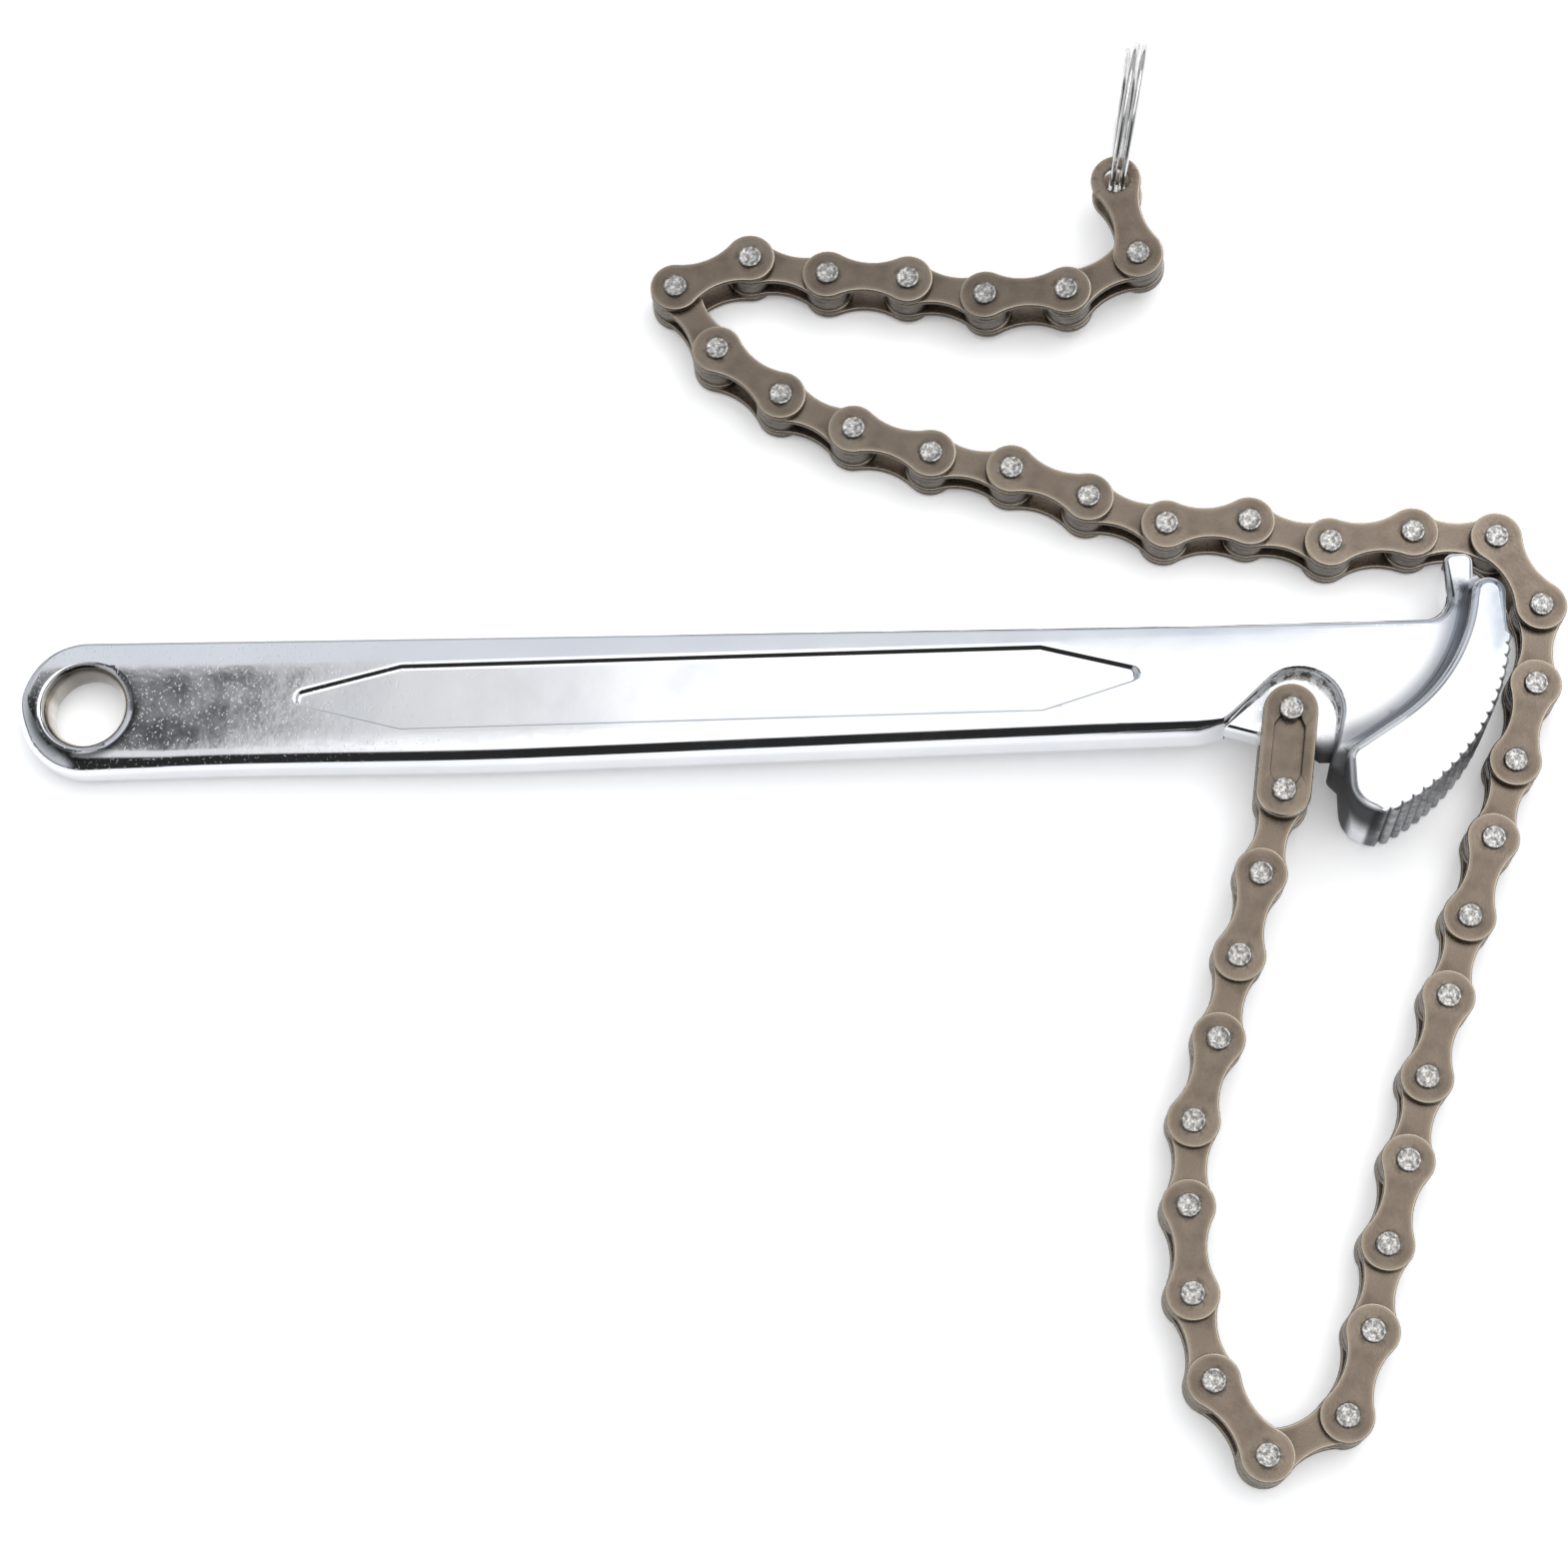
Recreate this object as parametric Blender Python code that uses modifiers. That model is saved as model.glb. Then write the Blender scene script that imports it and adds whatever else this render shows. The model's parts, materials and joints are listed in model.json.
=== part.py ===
"""Chain wrench: a forged handle with a toothed jaw, and a roller chain anchored to it.

The handle's own frame has X along the centre line of the grip towards the jaw, Y across it
and Z out of its flat face. The wrench lies on its side on a bench, at Z = 0.
"""

import math

import bmesh
import bpy
from mathutils import Matrix, Vector

MM = 0.001
OVERRUN = 1.0 * MM  # how far every cutter runs past the face that it cuts
WELD = 0.001 * MM

# Handle, forged in one piece
TAIL_LENGTH = 182.6 * MM  # from the anchor pin to the centre of the rounded tail
TAIL_WIDTH = 20.8 * MM
TAIL_THICKNESS = 8.0 * MM
NECK_LENGTH = 13.0 * MM  # from the anchor pin back to where the grip meets the head
NECK_WIDTH = 15.4 * MM
GRIP_THICKNESS = 10.0 * MM
GRIP_BEVEL = 1.5 * MM
WEB_CORNER_RADIUS = 1.0 * MM

# Hanging hole, with a funnel on both faces
HOLE_RADIUS = 5.6 * MM
HOLE_RIM_RADIUS = 7.4 * MM
HOLE_MOUTH_SHARES = (0.25, 0.75)  # of the flare and of the half thickness, from the rim inwards
HOLE_THROAT_SHARES = (0.75, 0.5)
HOLE_BORE_SHARES = (1.0, 0.2)

# Long recessed panel on both faces
PANEL_DEPTH = 0.6 * MM
PANEL_HALF_WIDTH = 5.1 * MM
PANEL_TAIL_TIP = 150.0 * MM
PANEL_TAIL_SHOULDER = 133.0 * MM
PANEL_HEAD_SHOULDER = 36.5 * MM
PANEL_HEAD_TIP = 22.0 * MM
PANEL_CORNER_RADIUS = 1.2 * MM

# Anchor of the chain: a thin lug in an open bay at the edge of the head
ANCHOR_OFFSET = 6.1 * MM  # the anchor pin lies this far to the side of the grip's centre line
BAY_RADIUS = 6.2 * MM
BAY_SHIFT = 1.2 * MM
BAY_APEX_BACK = 9.9 * MM
BAY_APEX_DROP = 8.0 * MM
BAY_WALL_FOOT = 5.3 * MM
BAY_WALL_DROP = 15.2 * MM
BAY_HEEL_DROP = 18.4 * MM  # where the wall of the bay runs into the heel of the jaw
LUG_RADIUS = 4.7 * MM
LUG_ROOT = 2.5 * MM  # how far the lug runs into the web around the bay
LUG_ROOT_FROM = math.radians(-5.0)
LUG_ROOT_TO = math.radians(135.0)
LUG_END_FROM = math.radians(250.0)
LUG_END_TO = math.radians(290.0)
LUG_TOE_AHEAD = 4.3 * MM  # the corner where the lug meets the wall of the bay
LUG_TOE_DROP = 12.7 * MM
LUG_SIDE_GAP = 0.3 * MM

# Horn beside the tip of the jaw
HORN_BACK = 24.0 * MM
HORN_FRONT = 28.4 * MM
HORN_TOP = 18.0 * MM
HORN_FILLET = 3.6 * MM
HORN_CORNER_RADIUS = 1.4 * MM

# Crescent jaw
JAW_THICKNESS = 18.0 * MM
JAW_RADIUS = 34.1 * MM  # of the circle through the tips of the teeth
JAW_NOSE_AHEAD = 26.72 * MM  # the middle of the toothed arc, from the grip's centre line
JAW_NOSE_DROP = 12.54 * MM
JAW_NOSE_TURN = math.radians(-34.8)  # the way that the middle of the arc faces
JAW_BACK_RADIUS = 26.0 * MM
JAW_BACK_AHEAD = 23.2 * MM  # the middle of the hollow back
JAW_BACK_DROP = 0.8 * MM
JAW_BACK_TURN = math.radians(-32.5)
JAW_BACK_LENGTH = 22.2 * MM  # along the arc
JAW_TIP_RADIUS = 2.6 * MM
JAW_TIP_AHEAD = 29.8 * MM
JAW_TIP_RISE = 10.1 * MM
JAW_TIP_TURN = math.radians(175.0)
JAW_BEVEL = 1.1 * MM
JAW_FILLET = 1.6 * MM  # where the web runs into the hollow back of the jaw
WEB_EDGE_DEPTH = 4.4 * MM  # the web ends this far behind the tips of the teeth
HEEL_LEFT = 7.3 * MM  # left-most reach of the rounded heel of the jaw
HEEL_SHOULDER_DROP = 13.9 * MM
HEEL_FOOT_DROP = 24.2 * MM
HEEL_SHOULDER_RADIUS = 3.0 * MM
HEEL_RADIUS = 5.0 * MM
TOOTH_PITCH = 1.95 * MM
TOOTH_DEPTH = 0.8 * MM
TEETH_LENGTH = 35.2 * MM  # along the arc
TOOTH_PROFILE_SHARES = ((0.0, 0.0), (0.22, 0.75), (0.5, 1.0), (0.78, 0.75))

# Roller chain, half inch pitch
PITCH = 12.7 * MM
INNER_WIDTH = 3.3 * MM
PLATE_THICKNESS = 1.0 * MM
PLATE_GAP = 0.3 * MM
HEAD_RADIUS = 3.95 * MM
WAIST_HALF_WIDTH = 2.35 * MM
ROLLER_RADIUS = 3.6 * MM
PIN_RADIUS = 1.7 * MM
PIN_CLEARANCE = 0.25 * MM
PIN_OVERHANG = 0.6 * MM
PLATE_FILLET = 6.0 * MM  # radius of the hollow sides of a plate's waist

# Connecting link at the anchor, closed by a spring clip
COVER_RADIUS = 4.1 * MM
CLIP_RADIUS = 4.0 * MM
CLIP_THICKNESS = 0.8 * MM
CLIP_SEAT_GAP = 0.15 * MM
CLIP_WINDOW = 2.25 * MM
CLIP_PIN_RADIUS = 1.35 * MM  # of the groove that the clip sits in
CLIP_PIN_CLEARANCE = 0.15 * MM
CLIP_PIN_OVERHANG = 0.55 * MM

# Split ring through the end link
RING_RADIUS = 12.0 * MM
RING_WIRE_RADIUS = 0.5 * MM
RING_LEAD = 1.46 * MM
RING_TURNS = 2
RING_HEADING = math.radians(80.0)
RING_HOLE_RADIUS = 2.0 * MM
RING_GROUND_GAP = 0.05 * MM

# How the chain lies: the direction of each link on the bench, from the anchor to the ring
LINK_HEADINGS = (
    -98, -108, -107, -106, -109, -96, -90, -79, -56,
    25, 70, 77, 73, 74, 72, 72, 70, 71, 72, 82, 118,
    175, 186, 163, 181, 158, 157, 167, 160, 152, 141, 121,
    22, -14, -6, -15, 0, 26, 104,
)
DROP_SHARES = (0.125, 0.25, 0.3, 0.225, 0.1)  # of the way down to the bench, after the first link
LIFT_SLOPE = math.tan(math.radians(8.0))
LIFT_SHARES = (0.22, 0.43, 0.65, 0.86, 1.0)  # of the lift slope, on the last links
LIFT_HEADINGS = (0, 0, 10, 28, 50)

# Facets
PIN_SIDES = 8
ROLLER_SIDES = 10
HOLE_SIDES = 28
CORNER_STEPS = 4
HEAD_STEPS = 6
RING_STEPS = 22
SHARP_ANGLE = math.radians(30.0)  # edges sharper than this stay crisp in the shading
RIM_ANGLE = math.radians(60.0)  # edges sharper than this are rims, which are rounded
FLAT_ANGLE = math.radians(1.0)

# Sizes that follow
INNER_HALF = INNER_WIDTH / 2 + PLATE_THICKNESS
OUTER_FACE = INNER_HALF + PLATE_GAP
OUTER_HALF = OUTER_FACE + PLATE_THICKNESS
PIN_HALF = OUTER_HALF + PIN_OVERHANG
LUG_HALF = OUTER_FACE - LUG_SIDE_GAP
COVER_FACE = OUTER_FACE
COVER_TOP = COVER_FACE + PLATE_THICKNESS
CLIP_FLOOR = COVER_TOP + CLIP_SEAT_GAP
CLIP_TOP = CLIP_FLOOR + CLIP_THICKNESS
CLIP_PIN_TOP = CLIP_TOP + CLIP_PIN_OVERHANG
BORE_RADIUS = PIN_RADIUS + PIN_CLEARANCE
ANCHOR = Vector((0, -ANCHOR_OFFSET, 0))

CHROME = ("polished_chrome", (0.78, 0.80, 0.83), 1.0, 0.12)
BRONZE = ("browned_steel", (0.33, 0.27, 0.21), 0.9, 0.38)
NICKEL = ("nickel_wire", (0.72, 0.72, 0.71), 1.0, 0.16)


def clear_scene():
    for obj in list(bpy.data.objects):
        bpy.data.objects.remove(obj, do_unlink=True)


def new_collection(name):
    collection = bpy.data.collections.new(name)
    bpy.context.scene.collection.children.link(collection)
    return collection


def material(finish, node):
    """The sub-part's own material, from a colour, a metallic value and a roughness."""
    kind, colour, metallic, roughness = finish
    made = bpy.data.materials.new(f"{kind}_{node}")
    made.use_nodes = True
    shader = made.node_tree.nodes["Principled BSDF"]
    shader.inputs["Base Color"].default_value = (*colour, 1.0)
    shader.inputs["Metallic"].default_value = metallic
    shader.inputs["Roughness"].default_value = roughness
    made.diffuse_color = (*colour, 1.0)
    return made


def heading(angle):
    return Vector((math.cos(angle), math.sin(angle), 0))


def arc(centre, radius, start, end, steps):
    """Points along an arc, both ends included."""
    turns = [start + (end - start) * i / steps for i in range(steps + 1)]
    return [Vector(centre).to_3d() + radius * heading(turn) for turn in turns]


def rounded(corners):
    """An outline through (x, y, radius) corners, each rounded by an arc of its radius."""
    points = []
    for i, (x, y, radius) in enumerate(corners):
        here = Vector((x, y, 0))
        if not radius:
            points.append(here)
            continue
        before = Vector((*corners[i - 1][:2], 0)) - here
        after = Vector((*corners[(i + 1) % len(corners)][:2], 0)) - here
        half = before.angle(after) / 2
        inward = (before.normalized() + after.normalized()).normalized()
        middle = here + inward * radius / math.sin(half)
        first = here + before.normalized() * radius / math.tan(half) - middle
        last = here + after.normalized() * radius / math.tan(half) - middle
        start = math.atan2(first.y, first.x)
        turn = math.atan2(first.cross(last).z, first.dot(last))
        points += arc(middle, radius, start, start + turn, CORNER_STEPS)
    return points


def as_mesh(obj, name):
    """Replaces a curve, or an object with modifiers, by a plain mesh object with welded seams."""
    bpy.context.view_layer.update()
    graph = bpy.context.evaluated_depsgraph_get()
    mesh = bpy.data.meshes.new_from_object(obj.evaluated_get(graph))
    matrix = obj.matrix_world.copy()
    collections = list(obj.users_collection)
    bpy.data.objects.remove(obj, do_unlink=True)
    work = bmesh.new()
    work.from_mesh(mesh)
    bmesh.ops.remove_doubles(work, verts=work.verts, dist=WELD)
    bmesh.ops.recalc_face_normals(work, faces=work.faces)
    work.to_mesh(mesh)
    work.free()
    made = bpy.data.objects.new(name, mesh)
    made.matrix_world = matrix
    for collection in collections:
        collection.objects.link(made)
    return made


def slab(name, outline, half_thickness, collection, lift=0.0):
    """A flat outline given a thickness, centred at the height of lift."""
    curve = bpy.data.curves.new(name, "CURVE")
    curve.dimensions = "2D"
    curve.fill_mode = "BOTH"
    curve.extrude = half_thickness
    spline = curve.splines.new("POLY")
    spline.points.add(len(outline) - 1)
    for point, corner in zip(spline.points, outline):
        point.co = (corner.x, corner.y, 0, 1)
    spline.use_cyclic_u = True
    obj = bpy.data.objects.new(name, curve)
    collection.objects.link(obj)
    made = as_mesh(obj, name)
    work = bmesh.new()
    work.from_mesh(made.data)
    bmesh.ops.dissolve_limit(work, angle_limit=FLAT_ANGLE, verts=work.verts, edges=work.edges)
    bmesh.ops.translate(work, verts=work.verts, vec=(0, 0, lift))
    work.to_mesh(made.data)
    work.free()
    return made


def rod(name, radius, bottom, top, sides, collection, centre=(0, 0), hole=False):
    """A round bar or, as a cutter, a hole whose flats lie on the radius."""
    reach = radius / math.cos(math.pi / sides) if hole else radius
    mesh = bpy.data.meshes.new(name)
    work = bmesh.new()
    bmesh.ops.create_cone(
        work, cap_ends=True, segments=sides, radius1=reach, radius2=reach, depth=top - bottom
    )
    bmesh.ops.translate(work, verts=work.verts, vec=(*centre, (top + bottom) / 2))
    work.to_mesh(mesh)
    work.free()
    obj = bpy.data.objects.new(name, mesh)
    collection.objects.link(obj)
    return obj


def turned(name, profile, sides, collection, centre):
    """A body turned about Z from (radius, height) points that run down its outer side."""
    mesh = bpy.data.meshes.new(name)
    mesh.from_pydata(
        [(radius, 0, height) for radius, height in profile],
        [(i, i + 1) for i in range(len(profile) - 1)],
        [],
    )
    obj = bpy.data.objects.new(name, mesh)
    obj.location = centre
    collection.objects.link(obj)
    screw = obj.modifiers.new("Turn", "SCREW")
    screw.steps = sides
    screw.render_steps = sides
    screw.use_merge_vertices = True
    screw.merge_threshold = WELD
    return as_mesh(obj, name)


def combine(base, tools, operation):
    """Joins the tools to the base, or cuts them out of it, and removes them."""
    for tool in tools:
        boolean = base.modifiers.new("Boolean", "BOOLEAN")
        boolean.operation = operation
        boolean.solver = "EXACT"
        boolean.object = tool
    name = base.name
    base.name = name + "_blank"
    made = as_mesh(base, name)
    for tool in tools:
        bpy.data.objects.remove(tool, do_unlink=True)
    return made


def finish(obj, look):
    obj.data.materials.clear()
    obj.data.materials.append(material(look, obj.name))
    obj.data.shade_smooth()
    obj.data.set_sharp_from_angle(angle=SHARP_ANGLE)


def bevel_rims(obj, width, keep=None):
    """Rounds the edges round both flat faces, apart from those that keep answers for."""
    work = bmesh.new()
    work.from_mesh(obj.data)
    rims = []
    for edge in work.edges:
        if len(edge.link_faces) != 2 or edge.calc_face_angle() < RIM_ANGLE:
            continue
        flat = abs(edge.verts[0].co.z - edge.verts[1].co.z) < WELD
        if flat and not (keep and keep(edge)):
            rims.append(edge)
    bmesh.ops.bevel(
        work, geom=rims, offset=width, offset_type="OFFSET", segments=2, profile=0.5,
        affect="EDGES", clamp_overlap=True,
    )
    bmesh.ops.remove_doubles(work, verts=work.verts, dist=WELD)
    work.to_mesh(obj.data)
    work.free()


def grip_thickness_share(x):
    """Half of the grip's thickness at x, as a share of its half thickness at the head."""
    along = (-NECK_LENGTH - x) / (TAIL_LENGTH - NECK_LENGTH)
    along = max(0.0, along)
    return 1 + along * (TAIL_THICKNESS / GRIP_THICKNESS - 1)


def arc_about(ahead, drop, turn, radius, length):
    """The centre of an arc given by its middle, and the directions of its upper and lower ends."""
    half = length / radius / 2
    return Vector((ahead, -drop, 0)) - radius * heading(turn), turn + half, turn - half


def teeth_arc():
    return arc_about(JAW_NOSE_AHEAD, JAW_NOSE_DROP, JAW_NOSE_TURN, JAW_RADIUS, TEETH_LENGTH)


def web_outline():
    """The grip, the head around the open bay, and the horn."""
    bay = Vector((BAY_SHIFT, ANCHOR.y))
    apex = Vector((-BAY_APEX_BACK, -BAY_APEX_DROP))
    to_bay = bay - apex
    bay_start = math.atan2(to_bay.y, to_bay.x) + math.asin(BAY_RADIUS / to_bay.length) + math.pi / 2
    foot = Vector((BAY_WALL_FOOT, -BAY_WALL_DROP))
    to_foot = foot - bay
    bay_end = math.atan2(to_foot.y, to_foot.x) + math.acos(BAY_RADIUS / to_foot.length)
    points = arc((-TAIL_LENGTH, 0), TAIL_WIDTH / 2, math.pi / 2, math.pi * 3 / 2, 4 * CORNER_STEPS)
    points.append(apex.to_3d())
    points += arc(bay, BAY_RADIUS, bay_start, bay_end, 2 * CORNER_STEPS)
    corners = [
        (points[-1].x, points[-1].y, 0),
        (foot.x, foot.y, WEB_CORNER_RADIUS),
        (HEEL_LEFT + JAW_BEVEL, -BAY_HEEL_DROP, 0),
    ]
    points += rounded(corners)[1:]
    centre, upper, lower = teeth_arc()
    points += arc(centre, JAW_RADIUS - WEB_EDGE_DEPTH, lower, upper, 2 * CORNER_STEPS)
    corners = [
        (points[-1].x, points[-1].y, 0),
        (HORN_FRONT, JAW_TIP_RISE, 0),
        (HORN_FRONT, HORN_TOP, HORN_CORNER_RADIUS),
        (HORN_BACK, HORN_TOP, HORN_CORNER_RADIUS),
        (HORN_BACK, NECK_WIDTH / 2, HORN_FILLET),
        (-NECK_LENGTH, NECK_WIDTH / 2, 0),
    ]
    return points + rounded(corners)[1:]


def jaw_sides():
    """The crescent in three runs: tip and hollow back, rounded heel, and the toothed arc."""
    hollow, start, end = arc_about(
        JAW_BACK_AHEAD, JAW_BACK_DROP, JAW_BACK_TURN, JAW_BACK_RADIUS, JAW_BACK_LENGTH
    )
    back = arc(hollow, JAW_BACK_RADIUS, start, end, 2 * CORNER_STEPS)
    tip = arc((JAW_TIP_AHEAD, JAW_TIP_RISE), JAW_TIP_RADIUS, 0, JAW_TIP_TURN, 2 * CORNER_STEPS)
    centre, upper, lower = teeth_arc()
    toe = centre + JAW_RADIUS * heading(lower)
    corners = [
        (back[-1].x, back[-1].y, 0),
        (HEEL_LEFT, -HEEL_SHOULDER_DROP, HEEL_SHOULDER_RADIUS),
        (HEEL_LEFT, -HEEL_FOOT_DROP, HEEL_RADIUS),
        (toe.x, toe.y, 0),
    ]
    heel = rounded(corners)[1:-1]
    count = round(TEETH_LENGTH / TOOTH_PITCH)
    step = (upper - lower) / count
    teeth = []
    for tooth in range(count):
        for along, depth in TOOTH_PROFILE_SHARES:
            radius = JAW_RADIUS - TOOTH_DEPTH * (1 - depth)
            teeth.append(centre + radius * heading(lower + step * (tooth + along)))
    teeth.append(centre + (JAW_RADIUS - TOOTH_DEPTH) * heading(upper))
    return tip + back, heel, teeth


def on_teeth(edge):
    """Whether an edge lies along the toothed arc."""
    centre, upper, lower = teeth_arc()
    for vert in edge.verts:
        spoke = vert.co.xy.to_3d() - centre
        turn = math.atan2(spoke.y, spoke.x)
        ring = spoke.length > JAW_RADIUS - 2 * TOOTH_DEPTH
        if ring and lower - FLAT_ANGLE < turn < upper + FLAT_ANGLE:
            return True
    return False


def fillet_strip(name, path, floor, radius, collection):
    """A hollow fillet along a path: it rises from a floor against a wall on the path's left."""
    sections = []
    for i, here in enumerate(path):
        along = path[min(i + 1, len(path) - 1)] - path[max(i - 1, 0)]
        out = Vector((along.y, -along.x, 0)).normalized()
        hollow = arc((radius, radius), radius, math.pi, math.pi * 3 / 2, CORNER_STEPS)
        corners = [*hollow, Vector((radius, -radius, 0)), Vector((-radius, -radius, 0))]
        corners.append(Vector((-radius, radius, 0)))
        sections.append([here + out * corner.x + Vector((0, 0, floor + corner.y)) for corner in corners])
    size = len(sections[0])
    mesh = bpy.data.meshes.new(name)
    faces = [list(range(size)), [len(path) * size - 1 - i for i in range(size)]]
    for i in range(len(path) - 1):
        for j in range(size):
            after = (j + 1) % size
            faces.append([i * size + j, (i + 1) * size + j, (i + 1) * size + after, i * size + after])
    mesh.from_pydata([corner for section in sections for corner in section], [], faces)
    work = bmesh.new()
    work.from_mesh(mesh)
    bmesh.ops.recalc_face_normals(work, faces=work.faces)
    work.to_mesh(mesh)
    work.free()
    obj = bpy.data.objects.new(name, mesh)
    collection.objects.link(obj)
    return obj


def panel_outline():
    corners = [
        (-PANEL_TAIL_TIP, 0, PANEL_CORNER_RADIUS),
        (-PANEL_TAIL_SHOULDER, -PANEL_HALF_WIDTH, PANEL_CORNER_RADIUS),
        (-PANEL_HEAD_SHOULDER, -PANEL_HALF_WIDTH, PANEL_CORNER_RADIUS),
        (-PANEL_HEAD_TIP, 0, PANEL_CORNER_RADIUS),
        (-PANEL_HEAD_SHOULDER, PANEL_HALF_WIDTH, PANEL_CORNER_RADIUS),
        (-PANEL_TAIL_SHOULDER, PANEL_HALF_WIDTH, PANEL_CORNER_RADIUS),
    ]
    return rounded(corners)


def lug_outline():
    """The thin plate that fills the bay and ends round below the anchor pin."""
    bay = Vector((BAY_SHIFT, ANCHOR.y))
    root = BAY_RADIUS + LUG_ROOT
    top = arc(bay, root, LUG_ROOT_FROM, LUG_ROOT_TO, 2 * CORNER_STEPS)
    end = arc(ANCHOR, LUG_RADIUS, LUG_END_FROM, LUG_END_TO, CORNER_STEPS)
    start = Vector((-BAY_APEX_BACK - LUG_ROOT, -BAY_APEX_DROP + LUG_ROOT / 2, 0))
    apex = Vector((-BAY_APEX_BACK, -BAY_APEX_DROP, 0))
    toe = Vector((LUG_TOE_AHEAD, -LUG_TOE_DROP, 0))
    return [*top, start, apex, *end, toe, toe + Vector((LUG_RADIUS, 0, 0))]


def build_handle(parts, cutters):
    handle = slab("handle", web_outline(), GRIP_THICKNESS / 2, parts)
    bevel_rims(handle, GRIP_BEVEL)
    panels = []
    for side in (1, -1):
        floor = GRIP_THICKNESS / 2 - PANEL_DEPTH
        half = (PANEL_DEPTH + OVERRUN) / 2
        panels.append(slab("panel_cutter", panel_outline(), half, cutters, side * (floor + half)))
    handle = combine(handle, panels, "DIFFERENCE")
    work = bmesh.new()
    work.from_mesh(handle.data)
    geometry = work.verts[:] + work.edges[:] + work.faces[:]
    bmesh.ops.bisect_plane(
        work, geom=geometry, plane_co=(-NECK_LENGTH, 0, 0), plane_no=(1, 0, 0), dist=WELD
    )
    for vert in work.verts:
        vert.co.z *= grip_thickness_share(vert.co.x)
    work.to_mesh(handle.data)
    work.free()
    back, heel, teeth = jaw_sides()
    jaw = slab("jaw_blank", back + heel + teeth, JAW_THICKNESS / 2, parts)
    bevel_rims(jaw, JAW_BEVEL, keep=on_teeth)
    lug = slab("lug_blank", lug_outline(), LUG_HALF, parts)
    seam = [point for point in back[CORNER_STEPS:] + heel if point.y > JAW_FILLET - BAY_WALL_DROP]
    fillets = []
    for side in (1, -1):
        fillet = fillet_strip("jaw_fillet", seam, GRIP_THICKNESS / 2, JAW_FILLET, parts)
        if side < 0:
            fillet.data.transform(Matrix.Scale(side, 4, Vector((0, 0, 1))))
            fillet.data.flip_normals()
        fillets.append(fillet)
    handle = combine(handle, [jaw, lug, *fillets], "UNION")
    rim = TAIL_THICKNESS / 2
    flare = HOLE_RIM_RADIUS - HOLE_RADIUS
    profile = [(0, rim + OVERRUN), (HOLE_RIM_RADIUS + OVERRUN / 2, rim + OVERRUN)]
    for inward, height in (HOLE_MOUTH_SHARES, HOLE_THROAT_SHARES, HOLE_BORE_SHARES):
        profile.append((HOLE_RIM_RADIUS - flare * inward, rim * height))
    profile += [(radius, -height) for radius, height in reversed(profile)]
    hole = turned("hanging_hole_cutter", profile, HOLE_SIDES, cutters, (-TAIL_LENGTH, 0, 0))
    bore = rod(
        "anchor_bore_cutter", BORE_RADIUS, -LUG_HALF - OVERRUN, LUG_HALF + OVERRUN,
        2 * PIN_SIDES, cutters, ANCHOR.xy, hole=True,
    )
    handle = combine(handle, [hole, bore], "DIFFERENCE")
    finish(handle, CHROME)
    return handle


def plate_outline():
    """Two round heads a pitch apart, with hollow sides between them."""
    waist_centre = WAIST_HALF_WIDTH + PLATE_FILLET
    reach = math.hypot(PITCH / 2, waist_centre)
    touch = math.acos((PITCH / 2) / reach)
    far = arc((PITCH, 0), HEAD_RADIUS, -math.pi + touch, math.pi - touch, HEAD_STEPS)
    near = arc((0, 0), HEAD_RADIUS, touch, 2 * math.pi - touch, HEAD_STEPS)
    upper = Vector((PITCH / 2, WAIST_HALF_WIDTH, 0))
    lower = Vector((PITCH / 2, -WAIST_HALF_WIDTH, 0))
    return [*far, upper, *near, lower]


def stadium(radius, steps):
    far = arc((PITCH, 0), radius, -math.pi / 2, math.pi / 2, steps)
    near = arc((0, 0), radius, math.pi / 2, math.pi * 3 / 2, steps)
    return far + near


def both_ends(name, radius, bottom, top, sides, collection, hole=False):
    return [
        rod(f"{name}_{i}", radius, bottom, top, sides, collection, (PITCH * i, 0), hole)
        for i in range(2)
    ]


def plate_pair(name, face, collection):
    """Two plates whose near faces lie at plus and minus face."""
    half = PLATE_THICKNESS / 2
    return [
        slab(f"{name}_{side}", plate_outline(), half, collection, side * (face + half))
        for side in (1, -1)
    ]


def inner_link_mesh(parts, cutters):
    """Two plates, two bushes and two rollers, with open bores for the pins."""
    first, second = plate_pair("inner_plate", INNER_WIDTH / 2, parts)
    reach = INNER_WIDTH / 2 + PLATE_THICKNESS / 2
    rollers = both_ends("roller", ROLLER_RADIUS, -reach, reach, ROLLER_SIDES, parts)
    link = combine(first, [second, *rollers], "UNION")
    reach = INNER_HALF + OVERRUN
    bores = both_ends("bush_bore", BORE_RADIUS, -reach, reach, PIN_SIDES, cutters, hole=True)
    return combine(link, bores, "DIFFERENCE")


def outer_link_mesh(parts):
    """Two plates riveted on two pins."""
    first, second = plate_pair("outer_plate", OUTER_FACE, parts)
    pins = both_ends("pin", PIN_RADIUS, -PIN_HALF, PIN_HALF, PIN_SIDES, parts)
    return combine(first, [second, *pins], "UNION")


def end_link_mesh(parts, cutters):
    """The last link: one pin, and an open hole in both plates for the ring."""
    first, second = plate_pair("end_plate", OUTER_FACE, parts)
    pin = rod("end_pin", PIN_RADIUS, -PIN_HALF, PIN_HALF, PIN_SIDES, parts)
    link = combine(first, [second, pin], "UNION")
    reach = OUTER_HALF + OVERRUN
    hole = rod(
        "ring_hole", RING_HOLE_RADIUS, -reach, reach, 2 * PIN_SIDES, cutters, (PITCH, 0), hole=True
    )
    return combine(link, [hole], "DIFFERENCE")


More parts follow.
